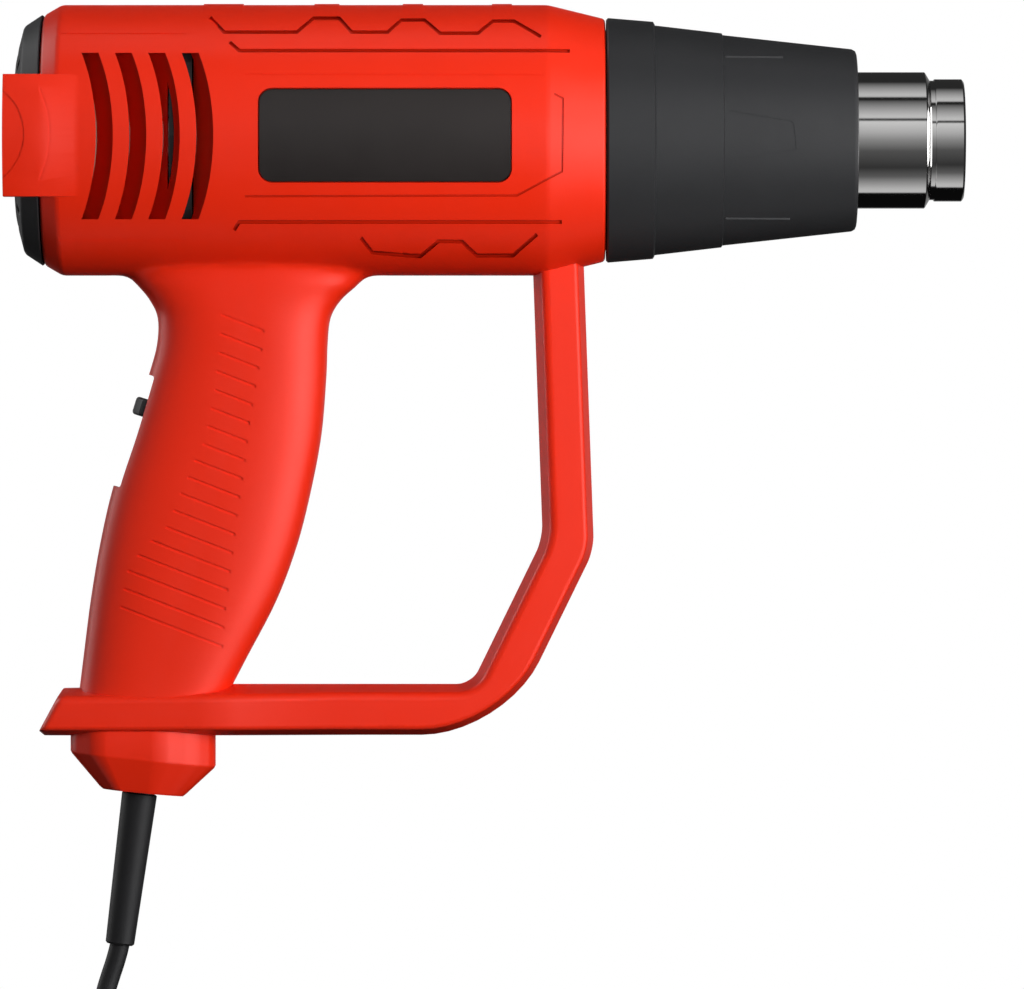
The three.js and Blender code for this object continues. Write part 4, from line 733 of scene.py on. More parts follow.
make_piece("switch_bezel", plate_form, black_plastic, "black_plastic", "tool", "switch_plate")

slider_bow = 2.1 * mm
slider_rounding = [(0, 0.75 * mm), (0.1 * mm, 0.45 * mm), (0.35 * mm, 0.16 * mm), (0.8 * mm, 0)]
slider_form = bowed_bar(
    -slider_proud,
    slider_bow,
    slider_half_width,
    plate_depth - gap,
    [
        *((slider_low + reach, inset) for reach, inset in slider_rounding),
        *((slider_high - reach, inset) for reach, inset in reversed(slider_rounding)),
    ],
)
slider_legs = [
    block(
        (plate_depth - 1.5 * mm, side * leg_middle_y - leg_half_width, slider_low + 0.9 * mm),
        (plate_back, side * leg_middle_y + leg_half_width, slider_high - 0.9 * mm),
    )
    for side in (-1, 1)
]
slider_form = combined("UNION", slider_form, together(slider_legs))
slider_form.transform(switch_frame)
make_piece("switch_thumb_slider", slider_form, black_plastic, "black_plastic", "slider", "switch_slider")

# The marks' black is darker than the plate's: painted shade for their relief.
mark_plastic = moulded("switch_mark_plastic", (0.009, 0.009, 0.0095), 0.3, 0.4 * mm, 0.006 * mm)
digit_height = 4.2 * mm
mark_proud = 0.12 * mm
mark_facing = Matrix(((0, 0, -1), (-1, 0, 0), (0, 1, 0))).to_4x4()
switch_marks = [("switch_mark_off", "0", 8), ("switch_mark_low", "1", 0), ("switch_mark_high", "2", -8)]
for name, digit, height in switch_marks:
    letters = bpy.data.curves.new(name, "FONT")
    letters.body = digit
    letters.size = digit_height
    letters.extrude = 2 * mark_proud
    letters.align_x = "CENTER"
    letters.align_y = "CENTER"
    words = bpy.data.objects.new(name, letters)
    mark_form = bmesh.new()
    mark_form.from_mesh(words.to_mesh())
    words.to_mesh_clear()
    bpy.data.objects.remove(words)
    bpy.data.curves.remove(letters)
    mark_place = Matrix.Translation((plate_depth + mark_proud, 0, height * mm))
    mark_form.transform(switch_frame @ mark_place @ mark_facing)
    make_piece(name, mark_form, mark_plastic, "black_plastic", "tool")


# Housing: two halves moulded in satin red plastic, with the barrel, pistol grip, hand guard, foot and
# cord outlet in one. They meet on the tool's middle plane, and ten screws from the left hold them.
wall = 3 * mm
crest_proud = 0.3 * mm
barrel_radius = 36.8 * mm - crest_proud
barrel_rear_x = -46.7 * mm
barrel_front_x = 104.5 * mm
rear_chamfer = (4.8 * mm, 2.8 * mm)
front_chamfer = (15.5 * mm, 3.8 * mm)
on_axis = Matrix.Translation((0, 0, axis_z))


def barrel_form(inset=0.0, over=0.0):
    """The barrel, drawn in by an inset and drawn out past its ends."""
    radius = barrel_radius - inset
    profile = [
        (barrel_rear_x, radius - rear_chamfer[1]),
        (barrel_rear_x + rear_chamfer[0], radius),
        (barrel_front_x - front_chamfer[0], radius),
        (barrel_front_x, radius - front_chamfer[1]),
    ]
    if over:
        profile = [(barrel_rear_x - over, profile[0][1]), *profile, (barrel_front_x + over, profile[-1][1])]
    form = spun([(profile[0][0], 0), *profile, (profile[-1][0], 0)], 192)
    if not over:
        soften(form, 0.9 * mm, 3, radians(8))
    long_edges = [edge for edge in form.edges if edge.calc_length() > 60 * mm]
    bmesh.ops.subdivide_edges(form, edges=long_edges, cuts=70)
    form.transform(on_axis)
    return form


past_side = 60 * mm


def barrel_skin(inner, outer):
    """A tube round the barrel between two radii, to crop surface details with."""
    form = spun(closed([(-70 * mm, inner), (-70 * mm, outer), (130 * mm, outer), (130 * mm, inner)]), 192)
    form.transform(on_axis)
    return form


# Rear lugs: two curved tabs, moulded with the halves, that reach back past the cap on each side and
# let the tool stand on its tail with the nose up.
lug_radius = 38.6 * mm
lug_inner_radius = 34.3 * mm
lug_rear_x = -56.1 * mm
lug_fade = 10 * mm
lug_half_height = 16.3 * mm


def lug_forms():
    """Both lugs: a ring that fades into the barrel, cropped to a band across its middle."""
    lug_ring = spun(
        closed([
            (lug_rear_x, lug_inner_radius),
            (lug_rear_x, lug_radius),
            (barrel_rear_x, lug_radius),
            (barrel_rear_x + lug_fade, barrel_radius - 0.1 * mm),
            (barrel_rear_x + lug_fade, lug_inner_radius),
        ]),
        192,
    )
    lug_ring.transform(on_axis)
    low = (-90 * mm, -past_side, axis_z - lug_half_height)
    high = (0, past_side, axis_z + lug_half_height)
    lugs = combined("INTERSECT", lug_ring, block(low, high))
    soften(lugs, 0.7 * mm, 3, radians(50))
    return lugs


# Grip: a hollow handle, moulded with the halves, that leans back to the foot. It is measured level by
# level, as (height, rear, front).
grip_half_width = 14 * mm
grip_squareness = 3
grip_levels = [
    (62.1, -33, 50),
    (54.8, -26.5, 42.5),
    (50.1, -21.9, 37.8),
    (45.9, -18.4, 33.2),
    (41, -16.2, 30.4),
    (33.9, -16.4, 29.6),
    (25.6, -18.6, 29.3),
    (9.9, -23.4, 28),
    (-5.2, -28.4, 25.2),
    (-20.2, -31.8, 21.4),
    (-35.2, -34.3, 15.8),
    (-50.2, -36.2, 8),
    (-58.3, -37.2, 3.8),
    (-64, -38, 1),
]
steps_between_levels = 5


def eased(before, start, end, after, share):
    """A value on the smooth line from start to end that also heeds its neighbours."""
    square = 2 * before - 5 * start + 4 * end - after
    cube = 3 * start - before - 3 * end + after
    return 0.5 * (2 * start + (end - before) * share + square * share ** 2 + cube * share ** 3)


def through(points, steps):
    """A smooth line through given points, each span cut into steps."""
    line = []
    padded = [points[0], *points, points[-1]]
    for span in zip(padded, padded[1:], padded[2:], padded[3:]):
        for step in range(steps):
            line.append(tuple(eased(*values, step / steps) for values in zip(*span)))
    return [*line, points[-1]]


def grip_form(inset=0.0):
    """The handle, drawn in by an inset."""
    form = bmesh.new()
    loops = []
    half_width = grip_half_width - inset
    for z, rear, front in through(grip_levels, steps_between_levels):
        loops.append(ring(form, z * mm, rear * mm + inset, front * mm - inset, half_width, grip_squareness))
    skin(form, loops)
    return form


# Hand guard: a bar of one width, moulded with the halves, that drops from the barrel's front and turns
# back under the grip. Its edges are rolled over, more on the hand's side.
guard_width = 13.8 * mm
guard_thickness = 18 * mm
guard_line = [(91.8, 58.2), (94.6, -20), (72.8, -64.6), (0, -64.6)]
guard_knee_round = 4 * mm
guard_elbow_round = 22 * mm
guard_section = [
    (0, 4.4, 2.9),
    (0.13, 3.6, 2.34),
    (0.5, 2.87, 1.88),
    (1.07, 2.3, 1.62),
    (1.8, 1.93, 1.47),
    (9, 0, 0),
]


def beside(line, offset):
    """A line of (x, z) points, moved sideways with mitred corners."""
    side = []
    points = [Vector(point) * mm for point in line]
    for i, point in enumerate(points):
        first = (point - points[max(i - 1, 0)]).normalized()
        second = (points[min(i + 1, len(points) - 1)] - point).normalized()
        first = first if i else second
        second = second if i < len(points) - 1 else first
        mitre = offset / (1 + first.dot(second))
        side.append((point.x - (first.y + second.y) * mitre, point.y + (first.x + second.x) * mitre))
    return side


def guard_form():
    """The bar through levels of (depth under its face, inner side drawn in, outer side drawn in)."""
    form = bmesh.new()
    half = guard_thickness / 2
    levels = [(half - depth * mm, inner * mm, outer * mm) for depth, inner, outer in guard_section]
    levels += [(-y, inner, outer) for y, inner, outer in reversed(levels[:-1])]
    loops = []
    for y, inner, outer in levels:
        outside = beside(guard_line, guard_width / 2 - outer)
        inside = beside(guard_line, inner - guard_width / 2)
        rounds = {
            1: guard_knee_round - outer * 0.25,
            2: guard_elbow_round - outer * 0.62,
            5: guard_knee_round + inner * 0.62,
            6: guard_knee_round + inner * 0.25,
        }
        loops.append(outline(form, [*outside, *reversed(inside)], y, rounds))
    skin(form, loops)
    return form


# Foot and cord outlet: a flange under the grip that runs on from the guard, and a faceted nub below it,
# square to the cord, that holds the boot. Both are moulded with the halves.
foot_half_width = 14.65 * mm
foot_top_z = -57.72
foot_bottom_z = -71.48
foot_taper_x = 38 * mm
foot_taper_half_width = 7.94 * mm
foot_taper_round = 5 * mm
foot_heel_tip = (-47.7, -70.2)
foot_heel_slope = (0.54, 0.8)
foot_heel_drop = 0.087
foot_heel_round = 2.2 * mm


def foot_form():
    """The flange, with the guard's section, down to its heel. Its narrow end sinks into the guard."""
    form = bmesh.new()
    loops = []
    levels = [(foot_top_z - inner, depth) for depth, inner, outer in reversed(guard_section)]
    levels += [(foot_bottom_z + outer, depth) for depth, inner, outer in guard_section]
    for z, inset in levels:
        heel_z = z - foot_heel_drop * (z - foot_bottom_z)
        above_tip = heel_z - foot_heel_tip[1]
        heel_x = foot_heel_tip[0] + abs(above_tip) * foot_heel_slope[0 if above_tip > 0 else 1]
        wide = foot_half_width - inset * mm
        narrow = max(foot_taper_half_width - inset * mm, 0.2 * mm)
        right = [(heel_x * mm, -wide), (0, -wide), (foot_taper_x, -narrow)]
        left = [(x, -y) for x, y in reversed(right)]
        rounds = {0: foot_heel_round, 1: foot_taper_round, 4: foot_taper_round, 5: foot_heel_round}
        loop = outline(form, [*right, *left], 0, rounds)
        for vert in {vert for edge in loop for vert in edge.verts}:
            towards_heel = (foot_taper_x - vert.co.x) / (foot_taper_x - heel_x * mm)
            vert.co.y = -(z + (heel_z - z) * towards_heel) * mm
        loops.append(loop)
    skin(form, loops)
    form.transform(upended)
    return form


nub_plan = [(0, 0.5), (0.19, 1), (0.63, 1), (0.855, 0.7), (1, 0.25)]
nub_facet_round = 0.07
nub_levels = [
    (-67.5, -39.6, -0.6, 12.3, 0),
    (-73, -39.6, -0.6, 12.3, 0),
    (-77.6, -39.6, -0.6, 12.3, 0.105),
    (-78.4, -39.2, -1, 12, 0.108),
    (-86.3, -31.8, -8.6, 8.6, 0.1),
    (-87, -30.9, -9.4, 8, 0.1),
]
cord_chamber_levels = [
    (-50, -33, -5, 9, 0),
    (-75, -36, -4, 9, 0.1),
    (-83.4, -28.4, -12.2, 5.2, 0.1),
]


def nub_form(levels):
    """A faceted cup through levels of (height, rear, front, half width, tilt)."""
    form = bmesh.new()
    loops = []
    for z, rear, front, half, tilt in levels:
        right = [((rear + (front - rear) * along) * mm, -half * across * mm) for along, across in nub_plan]
        left = [(x, -y) for x, y in reversed(right)]
        rounds = dict.fromkeys(range(2 * len(nub_plan)), (front - rear) * nub_facet_round * mm)
        loop = outline(form, [*right, *left], -z * mm, rounds)
        for vert in {vert for edge in loop for vert in edge.verts}:
            vert.co.y += (vert.co.x - (rear + front) / 2 * mm) * tilt
        loops.append(loop)
    skin(form, loops)
    form.transform(upended)
    return form


# Crests: four low bars over the top of the barrel, moulded with the halves, where the points of the
# side panels meet.
crest_spans = [(-3.6, 7), (26.2, 32.8), (50, 55.4), (74, 79.4)]
crest_radius = 33.3 * mm


def crest_forms():
    """Rounds slightly narrower than the barrel's, so that the bars die away at their sides."""
    rounds = [
        spun([(start * mm, 0), (start * mm, crest_radius), (end * mm, crest_radius), (end * mm, 0)], 192)
        for start, end in crest_spans
    ]
    form = together(rounds)
    form.transform(Matrix.Translation((0, 0, axis_z + barrel_radius + crest_proud - crest_radius)))
    return form


body = combined(
    "UNION",
    barrel_form(),
    lug_forms(),
    grip_form(),
    guard_form(),
    foot_form(),
    nub_form(nub_levels),
    crest_forms(),
)

# Hollow under the barrel: the grip grows out of the barrel in a soft sweep, so the line where the two
# forms meet is found and smoothed, as a toolmaker eases it in the mould.
weld_reach = 4.5 * mm
weld_sharper_than = radians(20)
weld_passes = 14
weld_rear_x = -40 * mm
weld_front_x = 56 * mm
weld_low_z = 44 * mm
weld_high_z = 66 * mm
weld = [
    vert
    for vert in body.verts
    if weld_low_z < vert.co.z < weld_high_z
    and weld_rear_x < vert.co.x < weld_front_x
    and any(edge.calc_face_angle(0) > weld_sharper_than for edge in vert.link_edges)
]
weld_tree = KDTree(len(weld))
for i, vert in enumerate(weld):
    weld_tree.insert(vert.co, i)
weld_tree.balance()
near_weld = [vert for vert in body.verts if weld_tree.find(vert.co)[2] < weld_reach]
for _ in range(weld_passes):
    bmesh.ops.smooth_vert(
        body,
        verts=near_weld,
        factor=0.5,
        use_axis_x=True,
        use_axis_y=True,
        use_axis_z=True,
    )

# Vents: four air slots in each side, cored slantwise through a thick part of the wall, so that they
# look bowed on the round barrel.
vent_first_x = -28.8 * mm
vent_pitch = 8.9 * mm
vent_width = 4.5 * mm
vent_half_height = 22.2 * mm
vent_slant = 0.557
vent_face_y = 36.8 * mm
vent_depth = (10 * mm, 50 * mm)
louvre_radius = 28.2 * mm
louvre_half_height = 24.4 * mm
louvre_spans = [(-38, -12.4), (-5.6, 1)]


def louvre_form():
    """The thick part of the wall behind the vents, left open where the motor bracket sits."""
    rings = []
    for start, end in louvre_spans:
        inner = (start * mm, louvre_radius), (end * mm, louvre_radius)
        outer = (end * mm, barrel_radius - 1 * mm), (start * mm, barrel_radius - 1 * mm)
        rings.append(spun(closed([*inner, *outer]), 192))
    rings = together(rings)
    rings.transform(on_axis)
    low = (-60 * mm, -past_side, axis_z - louvre_half_height)
    high = (20 * mm, past_side, axis_z + louvre_half_height)
    return combined("INTERSECT", rings, block(low, high))


def vent_form(x, side):
    """One slot, leaning back as it goes in."""
    form = block(
        (x - vent_width / 2, vent_depth[0], axis_z - vent_half_height),
        (x + vent_width / 2, vent_depth[1], axis_z + vent_half_height),
    )
    for vert in form.verts:
        vert.co.x += vent_slant * (vert.co.y - vent_face_y)
        vert.co.y *= side
    if side < 0:
        bmesh.ops.reverse_faces(form, faces=form.faces)
    return form


vents = together(vent_form(vent_first_x + i * vent_pitch, side) for i in range(4) for side in (-1, 1))

# Label recess: a shallow panel with rounded corners, sunk in each side of the barrel for a plate that
# is stuck in.
label_x = 45.6 * mm
label_half_length = 33.8 * mm
label_half_height = 12.65 * mm
label_corner = 3.8 * mm
label_floor = 35 * mm


def label_form(inner, outer, inset):
    """The panels on both sides between two radii, drawn in by an inset."""
    face = rounded_plate(
        label_x - label_half_length + inset,
        axis_z - label_half_height + inset,
        label_x + label_half_length - inset,
        axis_z + label_half_height - inset,
        label_corner - inset,
        -past_side,
        past_side,
    )
    return combined("INTERSECT", barrel_skin(inner, outer), face)


# Panel lines: grooves in the mouldings that mark out the side panels, with their toothed edges, and the
# lugs. Points are (x, z), and each line goes through to both sides.
groove_width = 1 * mm
fine_groove_width = 0.6 * mm
groove_depth = 0.75 * mm
fine_groove_depth = 0.42 * mm
faint_groove_depth = 0.14 * mm
panel_lines = [
    [(4, 114.2), (6.6, 111.8), (94.8, 111.8)],
    [
        (-1.6, 121.3), (2.4, 117), (21.9, 117), (26.3, 121.1), (33, 121.1),
        (36.5, 117), (46.2, 117), (49.7, 120.5), (55.9, 120.5),
        (60.1, 116.7), (70.3, 116.7), (74.3, 120.2), (79.9, 120.2), (87.1, 115.7),
    ],
    [(5.2, 64), (6.6, 66.1), (92.7, 66.1)],
    [(39, 62), (42, 58.2), (54.8, 57.2), (59.7, 61.1), (66, 61), (70, 57.4), (79.6, 57.4), (86.1, 62.9)],
]
fine_lines = [
    [(8.3, 72.8), (80.7, 73), (92.7, 79.4), (92.9, 98.8), (90.6, 100)],
]
faint_lines = [
    [(87.6, 105), (8.3, 105.2)],
    [(-42.2, 116.4), (-8, 116.4)],
    [(-42.2, 61.6), (-8, 61.6)],
]
lug_arc = through([(-46.2, 101.4), (-44.1, 95.4), (-43.4, 89.2), (-44.1, 83), (-46.2, 77)], 6)
lug_dish = (-64.8 * mm, 89.2 * mm, 14.6 * mm)
lug_dish_depth = 0.24 * mm


def curtain(line, width):
    """An upright wall along a line of (x, z) points, through the tool from side to side."""
    form = bmesh.new()
    flat_face(form, [*beside(line, width / 2), *reversed(beside(line, -width / 2))])
    thicken(form, -past_side, past_side)
    return form


def barrel_grooves(lines, width, depth):
    """Grooves of one depth all along the barrel, its front taper too."""
    curtains = together(curtain(line, width) for line in lines)
    shell = barrel_skin(barrel_radius - 12 * mm, barrel_radius + 3 * mm)
    return combined("INTERSECT", combined("DIFFERENCE", shell, barrel_form(depth, 30 * mm)), curtains)


def lug_skin(depth):
    """A ring over the lugs, down to a depth under their faces."""
    form = spun(
        closed([
            (-70 * mm, lug_radius - depth),
            (barrel_rear_x, lug_radius - depth),
            (barrel_rear_x + lug_fade, barrel_radius - depth),
            (barrel_rear_x + lug_fade, 45 * mm),
            (-70 * mm, 45 * mm),
        ]),
        192,
    )
    form.transform(on_axis)
    return form


# Grip ribs: shallow slanting grooves down both sides of the handle, moulded in for a sure hold. A patch
# that widens to the heel of the hand crops them.
rib_depth = 0.45 * mm
rib_width = 0.8 * mm
rib_slope = 0.39
rib_first_z = 42.2
rib_pitch = 5.235
rib_count = 18
rib_reach = (-40, 30)
rib_patch_front = [
    (13.4, 46), (12.8, 34.9), (8.8, 11), (7.7, 0.8), (6.1, -9.2), (4.2, -25.3), (2.6, -37.1), (1.5, -51),
]
rib_patch_rear = [
    (-27, -51), (-25.8, -37.1), (-24, -27.4), (-21.8, -23.6), (-18.3, -19.6), (-13.8, -16.1),
    (-10.3, -8.1), (-6, 2.1), (-3, 8), (-0.6, 20.4), (0.7, 30.9), (1.6, 46),
]
rib_patch = bmesh.new()
flat_face(rib_patch, [(x * mm, z * mm) for x, z in rib_patch_front + rib_patch_rear])
thicken(rib_patch, -past_side, past_side)
rib_heights = [rib_first_z - i * rib_pitch for i in range(rib_count)]
rib_lines = together(curtain([(x, z - x * rib_slope) for x in rib_reach], rib_width) for z in rib_heights)
rib_skin = combined("DIFFERENCE", grip_form(-2 * mm), grip_form(rib_depth))
ribs = combined("INTERSECT", rib_skin, rib_patch, rib_lines)

# Switch slot and boot hole: openings that the closed halves share, one in the back of the grip for the
# switch plate and one in the nub for the boot's neck.
slot_depth = (-8 * mm, 4 * mm)
switch_slot = rounded_plate(
    -slot_half_width, slot_low, slot_half_width, slot_high, slot_corner, *slot_depth
)
switch_slot.transform(switch_frame @ across_grip)
boot_hole_radius = boot_neck_radius + gap
boot_hole_start = -9 * mm
boot_hole_end = 4 * mm
boot_hole = spun(
    [
        (boot_hole_start, 0),
        (boot_hole_start, boot_hole_radius),
        (boot_hole_end, boot_hole_radius),
        (boot_hole_end, 0),
    ],
    48,
)
boot_hole.transform(boot_place)

# Screw bosses: round posts, moulded from wall to wall, that the ten screws draw together. The holes for
# their heads are sunk from the left.
boss_radius = 3.6 * mm
screw_radius = 1.3 * mm
screw_head_radius = 2.9 * mm
screw_head_height = 2.5 * mm
screw_places = []
for i in range(1, 11):
    low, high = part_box(f"housing_screw_{i}")
    screw_places.append(((low.x + high.x) / 2, high.y - screw_head_height, (low.z + high.z) / 2))


def cross_bar(x, z, low, high, radius):
    """A round bar along Y."""
    form = spun([(low, 0), (low, radius), (high, radius), (high, 0)], 64 if radius > 10 * mm else 32)
    form.transform(Matrix.Translation((x, 0, z)) @ Matrix.Rotation(radians(90), 4, "Z"))
    return form


def cross_bars(low, high, radius):
    """A bar at each screw. Ends that are None are at the screw's seat."""
    return together(
        cross_bar(x, z, seat if low is None else low, high, radius) for x, seat, z in screw_places
    )


# Seam: a hairline where the moulded halves meet, closed by their lips below it. It is cut with a sheet
# of small cells, so that its walls are small faces too.
seam_depth = 0.4 * mm
seam_half_width = 0.07 * mm
seam_half_reach = 130 * mm
seam_centre = (25 * mm, 0, 20 * mm)
lips = body.copy()
lips.normal_update()
for vert in lips.verts:
    vert.co -= vert.normal * seam_depth
bosses = combined("INTERSECT", lips.copy(), cross_bars(-40 * mm, 40 * mm, boss_radius))
seam_sheet = bmesh.new()
bmesh.ops.create_grid(seam_sheet, x_segments=26, y_segments=26, size=seam_half_reach)
seam_sheet.transform(Matrix.Translation(seam_centre) @ upended)
thicken(seam_sheet, -seam_half_width, seam_half_width)
seam = combined("DIFFERENCE", seam_sheet, lips)


def half_space(side):
    """A large box on one side of the tool's middle plane: -1 is its right, 1 its left."""
    return block((-1, min(side, 0), -1), (1, max(side, 0), 1))


# Halves: the whole moulding is hollowed out, fitted with bosses and louvres, cut and grooved, and only
# then parted on the middle plane. The right half has the pilot holes, and the left the clear ones.
hollows = barrel_form(wall, 5 * mm), grip_form(wall), nub_form(cord_chamber_levels)
shell = combined("DIFFERENCE", body, *hollows)
shell = combined("UNION", shell, bosses, louvre_form())
label_recess = label_form(label_floor, 42 * mm, 0)
shell = combined("DIFFERENCE", shell, label_recess, switch_slot, boot_hole, vents, ribs)
dish_x, dish_z, dish_radius = lug_dish
shell = combined(
    "DIFFERENCE",
    shell,
    barrel_grooves(panel_lines, groove_width, groove_depth),
    barrel_grooves(fine_lines, fine_groove_width, fine_groove_depth),
    barrel_grooves(faint_lines, fine_groove_width, faint_groove_depth),
    combined("INTERSECT", lug_skin(faint_groove_depth), curtain(lug_arc, fine_groove_width)),
    combined(
        "INTERSECT",
        lug_skin(lug_dish_depth),
        cross_bar(dish_x, dish_z, -past_side, past_side, dish_radius),
    ),
)
shell = combined("DIFFERENCE", shell, seam)
right_half = combined("INTERSECT", shell.copy(), half_space(-1))
left_half = combined("INTERSECT", shell, half_space(1))
right_half = combined("DIFFERENCE", right_half, cross_bars(-8 * mm, 1 * mm, screw_radius + gap))
left_half = combined(
    "DIFFERENCE",
    left_half,
    cross_bars(None, past_side, screw_head_radius + gap),
    cross_bars(-1 * mm, past_side, screw_radius + gap),
)
# Painted shade in the panel lines: surfaces this far under the barrel's round, forward of this x, are
# darkened.
groove_shade_depth = 0.25 * mm
groove_shade_start_x = 0.6 * mm


def groove_painted_shade(finish):
    """Where the barrel's skin lies under its own round: the floors of the panel lines and everything
    deeper, darkened as painted shade.
    """
    x, y, z = finish.axes()
    along_chamfer = x.worked("MAXIMUM", x - (barrel_front_x - front_chamfer[0]), 0)
    limit = barrel_radius - groove_shade_depth - along_chamfer * (front_chamfer[1] / front_chamfer[0])
    height = z - axis_z
    return (limit * limit > y * y + height * height) * (x > groove_shade_start_x)


# The housing's red is darkened in the panel lines' floors as painted shade.
red_plastic = moulded("red_plastic", (0.8, 0.021, 0.0025), 0.4, 0.55 * mm, 0.006 * mm, painted_shade=groove_painted_shade)
make_piece("housing_half_right", right_half, red_plastic, "red_plastic", "tool", "housing_right")
make_piece("housing_half_left", left_half, red_plastic, "red_plastic", "tool", "housing_left")


# Screws: zinc plated self-tapping screws with domed heads and a cross recess, ten for the housing.
# The cord clamp's two are the CAD nodes.
refinish(plated_steel, "clamp_screw_1", "clamp_screw_2")
screw_tip_y = -7 * mm
screw_head = [(0.2, 1.3), (0.3, 2.6), (0.6, 2.9), (1.5, 2.8), (2.1, 2.2), (2.45, 1.2), (2.5, 0)]
screw_turn_step = 37
cross_floor = 1.1 * mm
cross_half_length = 1.7 * mm
cross_half_width = 0.45 * mm
cross_arms = [(cross_half_width, cross_half_length), (cross_half_length, cross_half_width)]
for i, (x, seat, screw_z) in enumerate(screw_places, 1):
    tip = screw_tip_y - seat
    shank = [(tip, 0), (tip + 1 * mm, 0.9 * mm), (tip + 2 * mm, screw_radius)]
    screw_form = spun([*shank, *((reach * mm, radius * mm) for reach, radius in screw_head)], 40)
    recess = combined("UNION", *(block((cross_floor, -y, -z), (4 * mm, y, z)) for y, z in cross_arms))
    screw_form = combined("DIFFERENCE", screw_form, recess)
    turned = Matrix.Rotation(radians(screw_turn_step * i), 4, "Y")
    screw_form.transform(Matrix.Translation((x, seat, screw_z)) @ turned @ across_grip)
    make_piece(f"screw_{i}", screw_form, plated_steel, "plated_steel", "tool", f"housing_screw_{i}")


# Label plates: thin satin plates, punched from black plastic sheet and stuck in the recess on each side.
# They are left bare.
label_plate = moulded("label_plate", (0.0165, 0.0135, 0.013), 0.38, 0.35 * mm, 0.003 * mm, 0.1)
for side, name in ((-1, "right"), (1, "left")):
    plate = label_form(label_floor + gap, label_floor + 3.3 * gap, gap)
    plate = combined("INTERSECT", plate, half_space(side))
    soften(plate, 0.25 * mm, 2, radians(60))
    make_piece(f"label_{name}", plate, label_plate, "label_plate", "tool", f"label_plate_{name}")


# Rear cap: a black bezel that closes the barrel, spigoted into its rear mouth. Recessed marks and a
# triangle run round it for the dial.
cap_profile = [
    (-49.6, 24.3),
    (-53, 24.3),
    (-53.4, 24.7),
    (-53.3, 25.6),
    (-52.1, 30.2),
    (-51.8, 30.7),
    (-51.4, 31.1),
    (-47.3, 33.8),
    (-47, 33.6),
    (-47, 30.7),
    (-42.8, 30.7),
    (-42.8, 28.5),
    (-47.4, 28.5),
    (-47.4, 4.9),
    (-49.6, 4.9),
]
mark_radius = 28 * mm
mark_angles = (-45, -22.5, 22.5, 45, 135, 157.5, 180, 202.5, 225)
mark_half_width = 1.2 * mm
mark_half_length = 2.1 * mm
mark_floor = 52.3 * mm
mark_outside = 60 * mm
triangle_corners = [(-2.2 * mm, 1.4 * mm), (2.2 * mm, 1.4 * mm), (0, -2 * mm)]
cap_form = spun(closed([(x * mm, radius * mm) for x, radius in cap_profile]), 160)
cap_form.transform(on_axis)


def round_cap(form, angle):
    """Turns a form to its place round the cap."""
    form.transform(on_axis @ Matrix.Rotation(radians(angle), 4, "X"))
    return form


cap_marks = []
for angle in mark_angles:
    bar = block(
        (-mark_outside, -mark_half_width, mark_radius - mark_half_length),
        (-mark_floor, mark_half_width, mark_radius + mark_half_length),
    )
    soften(bar, 0.5 * mm, 3)
    cap_marks.append(round_cap(bar, angle))
triangle = bmesh.new()
flat_face(triangle, [(across, mark_radius + out) for across, out in triangle_corners])
thicken(triangle, mark_floor, mark_outside)
triangle.transform(across_grip)
cap_marks.append(round_cap(triangle, 0))
cap_form = combined("DIFFERENCE", cap_form, together(cap_marks))
make_piece("rear_bezel", cap_form, black_plastic, "black_plastic", "tool", "rear_cap")


# Temperature dial: a black dished disc on the potentiometer's shaft, with a moulded pointer and a
# ring groove round its middle.
dial_profile = [
    (-52.8, 0),
    (-52.8, 12.2),
    (-53, 12.6),
    (-53.8, 14.4),
    (-54, 14.9),
    (-54, 22.2),
    (-53.8, 23.2),
    (-53.2, 23.9),
    (-52.8, 24),
    (-49.9, 24),
    (-49.9, 4.6),
    (-47.4, 4.6),
    (-47.4, 3.3),
    (-52, 3.3),
    (-52, 0),
]
dial_form = spun([(x * mm, radius * mm) for x, radius in dial_profile], 160)
dial_form.transform(on_axis)
pointer = block((-60 * mm, -0.8 * mm, 16.6 * mm), (-53.1 * mm, 0.8 * mm, 22 * mm))
soften(pointer, 0.3 * mm, 2)
dial_form = combined("DIFFERENCE", dial_form, round_cap(pointer, 0))
make_piece("dial", dial_form, black_plastic, "black_plastic", "dial", "temperature_dial")


# Front nose: a black heat-proof shroud, stepped down twice to the outlet. Its spigot snaps into the
# barrel's front mouth.
nose_profile = [
    (104.8, 32.5),
    (105.3, 33),
    (117.4, 32),
    (117.8, 31.4),
    (117.9, 31),
    (135.9, 28.9),
    (136.2, 28.4),
    (171, 24.6),
    (171.9, 24.1),
    (172.2, 23.4),
    (172.2, 19.4),
    (171.8, 19),
    (169.8, 19),
    (169.8, 22.2),
    (136.3, 26),
    (111, 28.6),
    (104, 28.6),
    (96.8, 28.6),
    (96.8, 29.7),
    (104.8, 29.7),
]
nose_form = spun(closed([(x * mm, radius * mm) for x, radius in nose_profile]), 192)
nose_form.transform(on_axis)
nose_panel_corners = [(137.4, 96), (154.6, 93), (155.4, 85.5), (137.4, 82.8)]
nose_panel_round = 0.8 * mm
nose_panel_depth = 0.14 * mm
nose_panel = bmesh.new()
flat_face(nose_panel, [(x * mm, z * mm) for x, z in nose_panel_corners], range(4), nose_panel_round)
thicken(nose_panel, -past_side, past_side)
nose_cone = [(136.3 * mm, 28.4 * mm), (171 * mm, 24.6 * mm)]
nose_clear_radius = 40 * mm
nose_skin = spun(
    closed([
        *((x, radius - nose_panel_depth) for x, radius in nose_cone),
        *((x, nose_clear_radius) for x, radius in reversed(nose_cone)),
    ]),
    192,
)
nose_skin.transform(on_axis)
